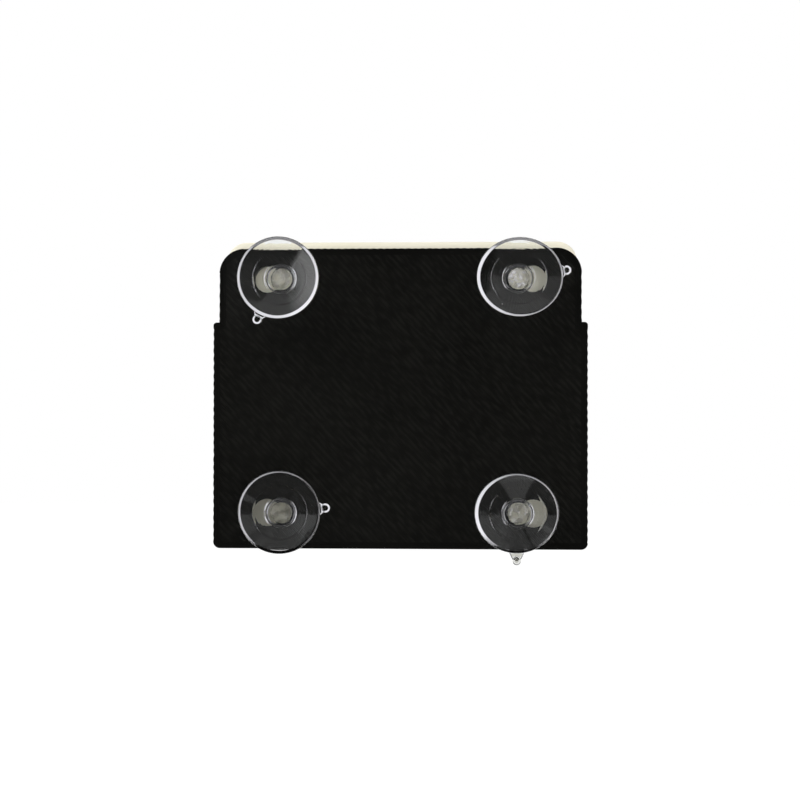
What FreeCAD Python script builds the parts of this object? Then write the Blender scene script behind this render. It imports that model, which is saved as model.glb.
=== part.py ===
import FreeCAD, Part
import enum
import math
import os

import Sketcher

# A holder printed in one piece keeps a flat radio tag behind a windscreen. The tag drops into a
# pocket from above, and four clear suction cups stand in keyholes of the pocket's back plate.
# Origin: midway between the axes of the four cups, in the plane of the glass that their lips touch.
# Axes: +Y from the glass into the pocket, +Z up, +X to the right as seen through the glass.

# Driving sizes in millimetres, and angles in degrees.
SIZES = {
    # Tag case
    "tag_width": 88.9,
    "tag_height": 76.2,
    "tag_thickness": 15.9,
    "tag_corner": 5.0,
    "tag_edge_round": 2.4,
    "case_wall": 1.8,
    "back_case_depth": 9.9,
    "tongue_depth": 1.2,
    "tongue_clearance": 0.1,
    "seam_chamfer": 0.25,
    # Pocket of the holder
    "side_clearance": 0.45,
    "face_clearance": 0.3,
    "seat_gap": 0.05,
    "side_wall": 2.1,
    "floor_thickness": 1.2,
    "wall_height": 56.8,
    "tag_rise": 2.1,
    "plate_margin": 1.05,
    "plate_corner": 6.35,
    "foot_corner": 1.7,
    "shoulder_round": 0.8,
    "lip_thickness": 2.0,
    "lip_width": 8.0,
    "lip_height": 9.0,
    "window_corner": 6.0,
    "lip_end_round": 3.0,
    "mouth_chamfer": 0.6,
    # Keyholes
    "cup_inset": 15.85,
    "cup_height": 9.0,
    "cup_drop": 7.75,
    "key_travel": 3.6,
    "web_thickness": 2.2,
    "slot_clearance": 0.15,
    "entry_clearance": 0.15,
    "head_clearance": 0.3,
    "head_play": 0.2,
    "head_sink": 0.3,
    # Suction cups
    "cup_stand": 7.0,
    "cup_radius": 10.25,
    "cup_hollow": 4.6,
    "crown_radius": 2.9,
    "lip_land": 0.35,
    "lip_bevel": 0.6,
    "lip_bevel_depth": 0.35,
    "rim_round": 0.1,
    "rim_thickness": 0.5,
    "ridge_radius": 6.85,
    "ridge_depth": 0.25,
    "ridge_drop": 1.3,
    "crown_wall": 0.9,
    "boss_radius": 3.95,
    "neck_radius": 2.65,
    "head_radius": 3.4,
    "head_thickness": 1.5,
    "head_bevel": 0.6,
    "tab_base": 3.1,
    "tab_end": 2.1,
    "tab_thickness": 0.9,
    "tab_setback": 0.15,
    "tab_root": 0.4,
    "bead_reach": 1.35,
    "bead_radius": 1.2,
    "bead_height": 1.3,
    "dimple_radius": 0.6,
    "dimple_depth": 0.5,
    "tab_turn_top_left": 243.5,
    "tab_turn_top_right": 8.0,
    "tab_turn_bottom_left": 5.5,
    "tab_turn_bottom_right": 270.0,
    # Circuit board on its posts
    "board_clearance": 1.65,
    "board_thickness": 1.6,
    "board_corner": 2.0,
    "post_inset": 4.0,
    "post_radius": 2.6,
    "post_height": 3.2,
    "pin_radius": 1.1,
    "pin_clearance": 0.15,
    "pin_rise": 0.9,
    # Antenna between the board and the back case
    "antenna_side": 50.0,
    "antenna_cut": 6.0,
    "antenna_thickness": 0.5,
    "spacer_side": 44.0,
    "spacer_thickness": 2.2,
    "feed_offset": 9.0,
    "feed_radius": 0.5,
    "feed_clearance": 0.08,
    "feed_head_radius": 1.0,
    "feed_head": 0.3,
    "feed_rise": 0.6,
    # Lithium cell
    "cell_radius": 16.45,
    "cell_height": 6.5,
    "cell_shoulder": 1.8,
    "cell_lid_height": 0.6,
    "cell_side_gap": 4.55,
    "cell_end_gap": 8.2,
    "strap_width": 5.0,
    "strap_thickness": 0.25,
    "strap_foot": 2.0,
    "strap_gap": 0.6,
    "strap_reach": 3.0,
    "strap_rise": 4.5,
    "pad_width": 22.0,
    "pad_height": 8.0,
    "pad_down": 10.0,
    # Parts on the board
    "can_width": 26.0,
    "can_height": 20.0,
    "can_depth": 3.0,
    "can_wall": 0.3,
    "can_corner": 1.0,
    "can_side_gap": 10.0,
    "can_end_gap": 8.65,
    "chip_side": 7.0,
    "chip_thickness": 0.9,
    "chip_mark_radius": 0.5,
    "chip_mark_depth": 0.1,
    "controller_width": 7.5,
    "controller_height": 10.3,
    "controller_thickness": 2.2,
    "controller_standoff": 0.15,
    "controller_right": 10.0,
    "controller_down": 14.0,
    "leg_pitch": 1.27,
    "leg_width": 0.42,
    "leg_thickness": 0.25,
    "leg_rise": 1.1,
    "leg_reach": 1.4,
    "leg_count": 8,
    "crystal_length": 10.8,
    "crystal_width": 4.4,
    "crystal_height": 3.5,
    "crystal_flange": 0.3,
    "crystal_flange_height": 0.4,
    "crystal_side_gap": 7.3,
    "crystal_down": 8.0,
    "capacitor_radius": 3.15,
    "capacitor_height": 5.4,
    "capacitor_base": 6.6,
    "capacitor_base_height": 1.1,
    "capacitor_bevel": 0.5,
    "capacitor_gap": 9.7,
    "component_length": 2.0,
    "component_width": 1.25,
    "component_height": 0.6,
    "component_margin": 9.0,
    "component_pitch": 4.0,
}

# Places of the small components, counted in pitches. Those at the top count from the board's
# middle and down from its top edge, and those in the corner from its right and bottom edges.
TOP_PLACES = [(-2.5, 0), (-1.5, 0), (-0.5, 0), (-2.5, 1), (-1.5, 1), (-2.5, 2)]
CORNER_PLACES = [(2, 3), (2, 2), (2, 1), (1, 1), (0, 1), (1, 0)]

SHEET = "sizes"
TINY = 1e-4


class Axis(enum.IntEnum):
    """The axes of a sketch, as the sketcher numbers them."""

    HORIZONTAL = -1
    VERTICAL = -2


class Spot(enum.IntEnum):
    """The points of a piece of a sketch, as the sketcher numbers them."""

    START = 1
    END = 2
    CENTRE = 3


class Size:
    """A length with its number and the sheet expression that gives it."""

    def __init__(self, value, text):
        self.value = float(value)
        self.text = text

    def __add__(self, other):
        other = as_size(other)
        return Size(self.value + other.value, f"({self.text} + {other.text})")

    def __sub__(self, other):
        other = as_size(other)
        return Size(self.value - other.value, f"({self.text} - {other.text})")

    def __mul__(self, other):
        other = as_size(other)
        return Size(self.value * other.value, f"({self.text} * {other.text})")

    def __truediv__(self, other):
        other = as_size(other)
        return Size(self.value / other.value, f"({self.text} / {other.text})")

    def __neg__(self):
        return Size(-self.value, f"(-1 * {self.text})")

    __radd__ = __add__
    __rmul__ = __mul__


def as_size(item):
    """Gives a plain number as a Size, and a Size as it is."""
    return item if isinstance(item, Size) else Size(item, f"({item})")


doc = FreeCAD.newDocument("tag_holder")
subparts = []


def make_sheet():
    """Writes the driving sizes into the document's sheet, one aliased cell each."""
    sheet = doc.addObject("Spreadsheet::Sheet", SHEET)
    for row, (alias, value) in enumerate(SIZES.items(), start=1):
        sheet.set(f"A{row}", alias)
        sheet.set(f"B{row}", str(value))
        sheet.setAlias(f"B{row}", alias)
    doc.recompute()
    return sheet


sizes = make_sheet()


def size(alias):
    """Reads a driving size from the sheet."""
    return Size(sizes.get(alias), f"{SHEET}.{alias}")


# Places that more than one piece shares

tag_half_width = size("tag_width") / 2
tag_half_height = size("tag_height") / 2
pocket_half_width = tag_half_width + size("side_clearance")
holder_half_width = pocket_half_width + size("side_wall")
plate_half_width = tag_half_width + size("plate_margin")
tag_seat = size("floor_thickness") + size("seat_gap")
plate_height = tag_seat + size("tag_height") - size("tag_rise")
cup_x = plate_half_width - size("cup_inset")
cup_z = (plate_height - size("cup_height") - size("cup_drop")) / 2
holder_bottom = -(cup_z + size("cup_height"))
pocket_floor = holder_bottom + size("floor_thickness")
tag_middle = holder_bottom + tag_seat + tag_half_height
plate_top = holder_bottom + plate_height
wall_top = holder_bottom + size("wall_height")
head_seat = size("web_thickness") + size("head_play")
plate_thickness = head_seat + size("head_thickness") + size("head_sink")
pocket_depth = size("tag_thickness") + 2 * size("face_clearance")
tag_back = size("cup_stand") + plate_thickness + size("face_clearance")
board_back = tag_back + size("case_wall") + size("post_height")
board_front = board_back + size("board_thickness")
board_half_width = tag_half_width - size("case_wall") - size("board_clearance")
board_half_height = tag_half_height - size("case_wall") - size("board_clearance")
post_x = board_half_width - size("post_inset")
post_z = board_half_height - size("post_inset")


def new_body(name, x=None, y=None, z=None):
    """Makes a named body and binds its place to the sheet."""
    body = doc.addObject("PartDesign::Body", name)
    body.Label = name
    for axis, place in (("x", x), ("y", y), ("z", z)):
        if place is not None:
            body.setExpression(f"Placement.Base.{axis}", place.text)
    subparts.append(body)
    return body


def origin_plane(body, role):
    """Finds one of a body's own origin planes."""
    return next(item for item in body.Origin.OriginFeatures if item.Role == role)


def new_sketch(body, name, role):
    """Makes a sketch on one of the body's origin planes."""
    sketch = body.newObject("Sketcher::SketchObject", name)
    sketch.AttachmentSupport = [(origin_plane(body, role), "")]
    sketch.MapMode = "FlatFace"
    return sketch


def front_sketch(body, name, depth=None):
    """Makes a sketch that faces the glass, at a depth along Y: its x is X and its y is Z."""
    sketch = new_sketch(body, name, "XZ_Plane")
    if depth is not None:
        sketch.setExpression("AttachmentOffset.Base.z", (-depth).text)
    return sketch


def set_constraint(sketch, constraint, given):
    """Adds a constraint with a value and binds it to the sheet."""
    number = sketch.addConstraint(constraint)
    sketch.setExpression(f"Constraints[{number}]", given.text)


def locate(sketch, geometry, vertex, x, y):
    """Holds a point at (x, y) from the sketch's root. None puts it on that axis."""
    for kind, place, axis in (("DistanceX", x, Axis.VERTICAL), ("DistanceY", y, Axis.HORIZONTAL)):
        if place is None:
            sketch.addConstraint(Sketcher.Constraint("PointOnObject", geometry, vertex, axis))
        else:
            root = (Axis.HORIZONTAL, Spot.START)
            rule = Sketcher.Constraint(kind, *root, geometry, vertex, place.value)
            set_constraint(sketch, rule, place)


def point(x, y):
    """A sketch point from two sizes, either of which can be None for zero."""
    return FreeCAD.Vector(x.value if x else 0.0, y.value if y else 0.0, 0.0)


def add_arc(sketch, centre, radius, first, last):
    """Adds an anticlockwise arc between two angles in radians."""
    circle = Part.Circle(centre, FreeCAD.Vector(0, 0, 1), radius)
    return sketch.addGeometry(Part.ArcOfCircle(circle, first, last), False)


def draw_outline(sketch, corners):
    """Draws a closed outline of straight lines through corners, each held by its sizes."""
    spots = [point(x, y) for x, y in corners]
    lines = []
    for number, start in enumerate(spots):
        end = spots[(number + 1) % len(spots)]
        lines.append(sketch.addGeometry(Part.LineSegment(start, end), False))
    for number, line in enumerate(lines):
        following = lines[(number + 1) % len(lines)]
        join = Sketcher.Constraint("Coincident", line, Spot.END, following, Spot.START)
        sketch.addConstraint(join)
        locate(sketch, line, Spot.START, *corners[number])


def draw_rectangle(sketch, half_width, half_height):
    """Draws a rectangle about the sketch's root."""
    draw_outline(sketch, [
        (-half_width, -half_height), (half_width, -half_height),
        (half_width, half_height), (-half_width, half_height),
    ])


def draw_circle(sketch, x, y, radius):
    """Draws a circle about (x, y)."""
    circle = Part.Circle(point(x, y), FreeCAD.Vector(0, 0, 1), radius.value)
    geometry = sketch.addGeometry(circle, False)
    locate(sketch, geometry, Spot.CENTRE, x, y)
    set_constraint(sketch, Sketcher.Constraint("Radius", geometry, radius.value), radius)


def draw_rounded(sketch, centres, radius):
    """Draws arcs of one radius about centres in anticlockwise order, joined by tangent lines."""
    spots = [point(x, y) for x, y in centres]
    headings = []
    for number, spot in enumerate(spots):
        step = spots[(number + 1) % len(spots)] - spot
        headings.append(math.atan2(step.y, step.x))
    arcs = []
    for number, spot in enumerate(spots):
        first = headings[number - 1] - math.pi / 2
        turn = (headings[number] - headings[number - 1]) % (2 * math.pi)
        arcs.append(add_arc(sketch, spot, radius.value, first, first + turn))
    for number, arc in enumerate(arcs):
        following = arcs[(number + 1) % len(arcs)]
        side = FreeCAD.Vector(math.sin(headings[number]), -math.cos(headings[number]), 0)
        start = spots[number] + side * radius.value
        end = spots[(number + 1) % len(spots)] + side * radius.value
        line = sketch.addGeometry(Part.LineSegment(start, end), False)
        for first, second in ((arc, line), (line, following)):
            join = Sketcher.Constraint("Tangent", first, Spot.END, second, Spot.START)
            sketch.addConstraint(join)
        locate(sketch, arc, Spot.CENTRE, *centres[number])
        if number:
            sketch.addConstraint(Sketcher.Constraint("Equal", arcs[0], arc))
    set_constraint(sketch, Sketcher.Constraint("Radius", arcs[0], radius.value), radius)


def draw_rounded_rectangle(sketch, half_width, half_height, radius, y=None):
    """Draws a rectangle with round corners about the vertical axis, its middle at height y."""
    right = half_width - radius
    up = half_height - radius
    low = -up if y is None else y - up
    high = up if y is None else y + up
    draw_rounded(sketch, [(-right, low), (right, low), (right, high), (-right, high)], radius)


def draw_at_corners(sketch, half_width, half_height, radius):
    """Draws four equal circles at the corners of a rectangle."""
    for x in (-half_width, half_width):
        for y in (-half_height, half_height):
            draw_circle(sketch, x, y, radius)


def pad(body, name, sketch, length):
    """Pads a sketch away from the glass."""
    feature = body.newObject("PartDesign::Pad", name)
    feature.Profile = sketch
    feature.Reversed = True
    feature.setExpression("Length", length.text)
    doc.recompute()
    return feature


def pocket(body, name, sketch, depth=None, towards_glass=False):
    """Cuts a sketch away from the glass or towards it, through everything if depth is None."""
    volume = body.Shape.Volume
    feature = body.newObject("PartDesign::Pocket", name)
    feature.Profile = sketch
    feature.Reversed = towards_glass
    if depth is None:
        feature.Type = "ThroughAll"
    else:
        feature.setExpression("Length", depth.text)
    doc.recompute()
    if not body.Shape.Volume < volume:
        raise ValueError(f"{body.Label}: {name} cuts nothing")
    return feature


def revolve(body, name, sketch):
    """Turns a profile on the XY plane once about Y."""
    feature = body.newObject("PartDesign::Revolution", name)
    feature.Profile = sketch
    feature.ReferenceAxis = (sketch, ["V_Axis"])
    feature.Angle = 360.0
    doc.recompute()
    return feature


def edges_along_y(shape, places):
    """Names the edges that run along Y through the given (x, z) places."""
    names = []
    for number, edge in enumerate(shape.Edges, start=1):
        first, last = edge.Vertexes[0].Point, edge.Vertexes[-1].Point
        run = last - first
        if abs(run.y) < TINY or math.hypot(run.x, run.z) > TINY:
            continue
        for x, z in places:
            if math.hypot(first.x - x.value, first.z - z.value) < TINY:
                names.append(f"Edge{number}")
    return names


def edges_at_depth(shape, depth, keep):
    """Names the edges that lie in the plane y = depth and whose ends all pass the test."""
    names = []
    for number, edge in enumerate(shape.Edges, start=1):
        spots = [vertex.Point for vertex in edge.Vertexes]
        if all(abs(spot.y - depth.value) < TINY and keep(spot) for spot in spots):
            names.append(f"Edge{number}")
    return names


def dress_edges(body, kind, name, names, given):
    """Puts a fillet or a chamfer on the named edges of the body so far."""
    if not names:
        raise ValueError(f"{body.Label}: {name} finds no edge")
    base = body.Tip
    feature = body.newObject(f"PartDesign::{kind}", name)
    feature.Base = (base, names)
    feature.setExpression("Radius" if kind == "Fillet" else "Size", given.text)
    doc.recompute()
    return feature


def round_along_y(body, name, places, radius):
    """Rounds the edges that run along Y through the places."""
    names = edges_along_y(body.Tip.Shape, places)
    return dress_edges(body, "Fillet", name, names, radius)


def both_sides(x, z):
    """A place and its mirror image across the middle."""
    return [(x, z), (-x, z)]


# The printed holder

def draw_walls(sketch, inner_half_width, inner_floor):
    """Draws the U that the side walls and the floor make, seen from the glass."""
    draw_outline(sketch, [
        (-holder_half_width, holder_bottom),
        (holder_half_width, holder_bottom),
        (holder_half_width, wall_top),
        (inner_half_width, wall_top),
        (inner_half_width, inner_floor),
        (-inner_half_width, inner_floor),
        (-inner_half_width, wall_top),
        (-holder_half_width, wall_top),
    ])


def cut_keyholes(body):
    """Cuts the four keyholes: an entry, a slot for the neck and a recess for the head."""
    entry_x = cup_x + size("key_travel")
    entry = front_sketch(body, "entry_outline")
    draw_circle(entry, entry_x, cup_z, size("head_radius") + size("entry_clearance"))
    entry_cut = pocket(body, "entry", entry, plate_thickness)
    slot = front_sketch(body, "slot_outline")
    ends = [(cup_x, cup_z), (entry_x, cup_z)]
    draw_rounded(slot, ends, size("neck_radius") + size("slot_clearance"))
    slot_cut = pocket(body, "slot", slot, plate_thickness)
    recess = front_sketch(body, "recess_outline", size("web_thickness"))
    draw_rounded(recess, ends, size("head_radius") + size("head_clearance"))
    recess_cut = pocket(body, "recess", recess, plate_thickness - size("web_thickness"))
    copies = body.newObject("PartDesign::MultiTransform", "keyholes")
    copies.Originals = [entry_cut, slot_cut, recess_cut]
    mirrors = []
    for name, role in (("across_middle", "YZ_Plane"), ("across_rows", "XY_Plane")):
        mirror = doc.addObject("PartDesign::Mirrored", name)
        mirror.MirrorPlane = (origin_plane(body, role), [""])
        body.addObject(mirror)
        mirrors.append(mirror)
    copies.Transformations = mirrors
    body.Tip = copies
    doc.recompute()


def holder():
    """The holder: back plate, U of walls round the pocket, and a lip that keeps the tag in."""
    body = new_body("holder", y=size("cup_stand"))
    plate = front_sketch(body, "plate_outline")
    draw_outline(plate, [
        (-holder_half_width, holder_bottom),
        (holder_half_width, holder_bottom),
        (holder_half_width, wall_top),
        (plate_half_width, wall_top),
        (plate_half_width, plate_top),
        (-plate_half_width, plate_top),
        (-plate_half_width, wall_top),
        (-holder_half_width, wall_top),
    ])
    pad(body, "back_plate", plate, plate_thickness)
    walls = front_sketch(body, "wall_outline", plate_thickness)
    draw_walls(walls, pocket_half_width, pocket_floor)
    pad(body, "walls", walls, pocket_depth)
    lip = front_sketch(body, "lip_outline", plate_thickness + pocket_depth)
    window_half_width = holder_half_width - size("lip_width")
    window_floor = holder_bottom + size("lip_height")
    draw_walls(lip, window_half_width, window_floor)
    pad(body, "lip", lip, size("lip_thickness"))
    round_along_y(body, "plate_corners", both_sides(plate_half_width, plate_top),
                  size("plate_corner"))
    round_along_y(body, "foot_corners", both_sides(holder_half_width, holder_bottom),
                  size("foot_corner"))
    round_along_y(body, "shoulders", both_sides(holder_half_width, wall_top),
                  size("shoulder_round"))
    round_along_y(body, "window_corners", both_sides(window_half_width, window_floor),
                  size("window_corner"))
    round_along_y(body, "lip_ends", both_sides(window_half_width, wall_top),
                  size("lip_end_round"))
    mouth = edges_along_y(body.Tip.Shape, both_sides(pocket_half_width, wall_top))
    dress_edges(body, "Chamfer", "mouth", mouth, size("mouth_chamfer"))
    cut_keyholes(body)


# The suction cups

def draw_cup_section(sketch):
    """Draws half the section of a cup, from the middle of its hollow round to its head's top."""
    lip_outer = size("cup_radius") - size("rim_round")
    lip_inner = lip_outer - size("lip_land")
    hollow_edge = lip_inner - size("lip_bevel")
    shoulder = size("cup_hollow") - size("ridge_drop")
    boss_root = size("cup_hollow") + size("crown_wall")
    seat = size("cup_stand")
    head_start = seat + head_seat
    head_end = head_start + size("head_thickness")
    draw_outline(sketch, [
        (None, size("cup_hollow")),
        (size("crown_radius"), size("cup_hollow")),
        (hollow_edge, size("lip_bevel_depth")),
        (lip_inner, None),
        (lip_outer, None),
        (size("cup_radius"), size("rim_thickness")),
        (size("ridge_radius") + size("ridge_depth"), shoulder),
        (size("ridge_radius"), shoulder + size("ridge_depth")),
        (size("boss_radius"), boss_root),
        (size("boss_radius"), seat),
        (size("neck_radius"), seat),
        (size("neck_radius"), head_start),
        (size("head_radius"), head_start),
        (size("head_radius"), head_end - size("head_bevel")),
        (size("head_radius") - size("head_bevel"), head_end),
        (None, head_end),
    ])


def suction_cup(name, side, row):
    """A cup moulded in one piece: lip, cone, boss, neck, mushroom head and beaded pull tab."""
    body = new_body(name, x=side * cup_x, z=row * cup_z)
    body.Placement.Rotation = FreeCAD.Rotation(FreeCAD.Vector(0, -1, 0), 1)
    turn = size(name.replace("suction_cup", "tab_turn"))
    body.setExpression("Placement.Rotation.Angle", turn.text)
    section = new_sketch(body, "section", "XY_Plane")
    draw_cup_section(section)
    revolve(body, "cup", section)
    root = size("cup_radius") - size("tab_root")
    bead_x = size("cup_radius") + size("bead_reach")
    tab = front_sketch(body, "tab_outline", size("tab_setback"))
    draw_outline(tab, [
        (root, -size("tab_base") / 2),
        (bead_x, -size("tab_end") / 2),
        (bead_x, size("tab_end") / 2),
        (root, size("tab_base") / 2),
    ])
    pad(body, "tab", tab, size("tab_thickness"))
    bead = front_sketch(body, "bead_outline", size("tab_setback"))
    draw_circle(bead, bead_x, None, size("bead_radius"))
    pad(body, "bead", bead, size("bead_height"))
    dimple = front_sketch(body, "dimple_outline", size("tab_setback"))
    draw_circle(dimple, bead_x, None, size("dimple_radius"))
    pocket(body, "dimple", dimple, size("dimple_depth"))


# The tag's case

def on_case_outline(spot):
    """Tells whether a point lies on the outer wall of the case, not inside it."""
    on_side = abs(abs(spot.x) - tag_half_width.value) < TINY
    on_end = abs(abs(spot.z) - tag_half_height.value) < TINY
    return on_side or on_end


def anywhere(spot):
    """Keeps every point."""
    return True


def draw_case_outline(sketch, inset=None):
    """Draws the case's outline, or one set in from it by an even wall."""
    radius = size("tag_corner")
    if inset is None:
        draw_rounded_rectangle(sketch, tag_half_width, tag_half_height, radius)
    else:
        draw_rounded_rectangle(sketch, tag_half_width - inset, tag_half_height - inset,
                               radius - inset)


def tag_back_case():
    """The half of the case that faces the glass, with the posts that carry the board."""
    body = new_body("tag_back_case", y=tag_back, z=tag_middle)
    wall = size("case_wall")
    depth = size("back_case_depth")
    outline = front_sketch(body, "outline")
    draw_case_outline(outline)
    pad(body, "block", outline, depth)
    face_edges = edges_at_depth(body.Tip.Shape, as_size(0), anywhere)
    dress_edges(body, "Fillet", "face_round", face_edges, size("tag_edge_round"))
    cavity = front_sketch(body, "cavity_outline", wall)
    draw_case_outline(cavity, wall)
    pocket(body, "cavity", cavity)
    floor_edges = edges_at_depth(body.Tip.Shape, wall, anywhere)
    dress_edges(body, "Chamfer", "floor_bevel", floor_edges, size("tag_edge_round") - wall)
    rebate = front_sketch(body, "rebate_outline", depth)
    draw_case_outline(rebate, wall / 2)
    pocket(body, "rebate", rebate, size("tongue_depth"), towards_glass=True)
    seam = edges_at_depth(body.Tip.Shape, depth, on_case_outline)
    dress_edges(body, "Chamfer", "seam", seam, size("seam_chamfer"))
    posts = front_sketch(body, "post_outlines", wall)
    draw_at_corners(posts, post_x, post_z, size("post_radius"))
    pad(body, "posts", posts, size("post_height"))
    pins = front_sketch(body, "pin_outlines", wall + size("post_height"))
    draw_at_corners(pins, post_x, post_z, size("pin_radius"))
    pad(body, "pins", pins, size("board_thickness") + size("pin_rise"))


def tag_front_case():
    """The half of the case that faces the car, with the tongue that locks into the other half."""
    wall = size("case_wall")
    depth = size("tag_thickness") - size("back_case_depth")
    body = new_body("tag_front_case", y=tag_back + size("back_case_depth"), z=tag_middle)
    outline = front_sketch(body, "outline")
    draw_case_outline(outline)
    pad(body, "block", outline, depth)
    face_edges = edges_at_depth(body.Tip.Shape, depth, anywhere)
    dress_edges(body, "Fillet", "face_round", face_edges, size("tag_edge_round"))
    seam = edges_at_depth(body.Tip.Shape, as_size(0), on_case_outline)
    dress_edges(body, "Chamfer", "seam", seam, size("seam_chamfer"))
    cavity = front_sketch(body, "cavity_outline")
    draw_case_outline(cavity, wall)
    pocket(body, "cavity", cavity, depth - wall)
    ceiling_edges = edges_at_depth(body.Tip.Shape, depth - wall, anywhere)
    dress_edges(body, "Chamfer", "ceiling_bevel", ceiling_edges, size("tag_edge_round") - wall)
    reach = size("tongue_depth") - size("tongue_clearance")
    tongue = front_sketch(body, "tongue_outline", -reach)
    draw_case_outline(tongue, wall / 2 + size("tongue_clearance"))
    draw_case_outline(tongue, wall)
    pad(body, "tongue", tongue, reach)


# Inside the tag

def circuit_board():
    """The board, on the posts' shoulders, with holes for their pins and for the antenna's feed."""
    body = new_body("circuit_board", y=board_back, z=tag_middle)
    outline = front_sketch(body, "outline")
    draw_rounded_rectangle(outline, board_half_width, board_half_height, size("board_corner"))
    pad(body, "board", outline, size("board_thickness"))
    holes = front_sketch(body, "hole_outlines")
    draw_at_corners(holes, post_x, post_z, size("pin_radius") + size("pin_clearance"))
    draw_circle(holes, None, size("feed_offset"), size("feed_radius") + size("feed_clearance"))
    pocket(body, "holes", holes)


def antenna_spacer():
    """The foam block that holds the antenna plate off the board."""
    body = new_body("antenna_spacer", y=board_back - size("spacer_thickness"), z=tag_middle)
    outline = front_sketch(body, "outline")
    half = size("spacer_side") / 2
    draw_rectangle(outline, half, half)
    draw_circle(outline, None, size("feed_offset"), size("feed_radius") + size("feed_clearance"))
    pad(body, "block", outline, size("spacer_thickness"))


def antenna_plate():
    """The patch antenna, a square sheet with two opposite corners cut off."""
    back = board_back - size("spacer_thickness") - size("antenna_thickness")
    body = new_body("antenna_plate", y=back, z=tag_middle)
    half = size("antenna_side") / 2
    short = half - size("antenna_cut")
    outline = front_sketch(body, "outline")
    draw_outline(outline, [
        (-half, -half), (short, -half), (half, -short),
        (half, half), (-short, half), (-half, short),
    ])
    draw_circle(outline, None, size("feed_offset"), size("feed_radius") + size("feed_clearance"))
    pad(body, "sheet", outline, size("antenna_thickness"))


def antenna_feed():
    """The pin that joins the antenna plate to the board."""
    back = board_back - size("spacer_thickness") - size("antenna_thickness")
    reach = board_front + size("feed_rise") - back
    body = new_body("antenna_feed", y=back, z=tag_middle + size("feed_offset"))
    section = new_sketch(body, "section", "XY_Plane")
    draw_outline(section, [
        (None, -size("feed_head")),
        (size("feed_head_radius"), -size("feed_head")),
        (size("feed_head_radius"), None),
        (size("feed_radius"), None),
        (size("feed_radius"), reach),
        (None, reach),
    ])
    revolve(body, "pin", section)


cell_x = size("cell_side_gap") + size("cell_radius") - board_half_width
cell_z = tag_middle + size("cell_end_gap") + size("cell_radius") - board_half_height
can_x = board_half_width - size("can_side_gap") - size("can_width") / 2
can_z = board_half_height - size("can_end_gap") - size("can_height") / 2


def lithium_cell():
    """The wafer cell, with a stepped lid round its terminal."""
    body = new_body("lithium_cell", x=cell_x, y=board_front, z=cell_z)
    radius = size("cell_radius")
    height = size("cell_height")
    shoulder = height - size("cell_lid_height")
    lid = radius - size("cell_shoulder")
    section = new_sketch(body, "section", "XY_Plane")
    draw_outline(section, [
        (None, None),
        (radius, None),
        (radius, shoulder),
        (lid, shoulder),
        (lid, height),
        (None, height),
    ])
    revolve(body, "can", section)


def strap(name, corners):
    """A welded strap: a bent strip, drawn from the side and padded to its width across X."""
    body = new_body(name, x=cell_x, y=board_front, z=cell_z)
    side = new_sketch(body, "side_view", "YZ_Plane")
    draw_outline(side, corners)
    feature = body.newObject("PartDesign::Pad", "strip")
    feature.Profile = side
    feature.Midplane = True
    feature.setExpression("Length", size("strap_width").text)
    doc.recompute()


def cell_straps():
    """The two straps that join the cell's lid and its can to the board."""
    height = size("cell_height")
    thick = size("strap_thickness")
    drop = size("cell_radius") + size("strap_gap")
    lid_foot = drop + thick + size("strap_foot")
    strap("cell_strap_lid", [
        (height + thick, -size("strap_reach")),
        (height + thick, drop + thick),
        (thick, drop + thick),
        (thick, lid_foot),
        (None, lid_foot),
        (None, drop),
        (height, drop),
        (height, -size("strap_reach")),
    ])
    can_side = -size("cell_radius")
    can_foot = can_side - thick - size("strap_foot")
    strap("cell_strap_can", [
        (None, can_side),
        (size("strap_rise"), can_side),
        (size("strap_rise"), can_side - thick),
        (thick, can_side - thick),
        (thick, can_foot),
        (None, can_foot),
    ])


def cell_pad():
    """The foam pad that fills the gap between the cell's lid and the front case."""
    start = board_front + size("cell_height")
    room = tag_back + size("tag_thickness") - size("case_wall") - start
    body = new_body("cell_pad", x=cell_x, y=start, z=cell_z - size("pad_down"))
    outline = front_sketch(body, "outline")
    draw_rectangle(outline, size("pad_width") / 2, size("pad_height") / 2)
    pad(body, "foam", outline, room)


def on_board(name, x, z):
    """A body that stands on the front of the board, at a place from the board's middle."""
    return new_body(name, x=x, y=board_front, z=tag_middle + z)


def shield_can():
    """The drawn metal can over the radio, open towards the board."""
    body = on_board("shield_can", can_x, can_z)
    wall = size("can_wall")
    half_width = size("can_width") / 2
    half_height = size("can_height") / 2
    outline = front_sketch(body, "outline")
    draw_rounded_rectangle(outline, half_width, half_height, size("can_corner"))
    pad(body, "block", outline, size("can_depth"))
    hollow = front_sketch(body, "hollow_outline")
    draw_rounded_rectangle(hollow, half_width - wall, half_height - wall,
                           size("can_corner") - wall)
    pocket(body, "hollow", hollow, size("can_depth") - wall)


def radio_chip():
    """The radio chip under the can, with the dimple that marks its first contact."""
    body = on_board("radio_chip", can_x, can_z)
    half = size("chip_side") / 2
    outline = front_sketch(body, "outline")
    draw_rectangle(outline, half, half)
    pad(body, "package", outline, size("chip_thickness"))
    mark = front_sketch(body, "mark_outline", size("chip_thickness"))
    corner = half - 2 * size("chip_mark_radius")
    draw_circle(mark, -corner, corner, size("chip_mark_radius"))
    pocket(body, "mark", mark, size("chip_mark_depth"), towards_glass=True)


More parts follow.
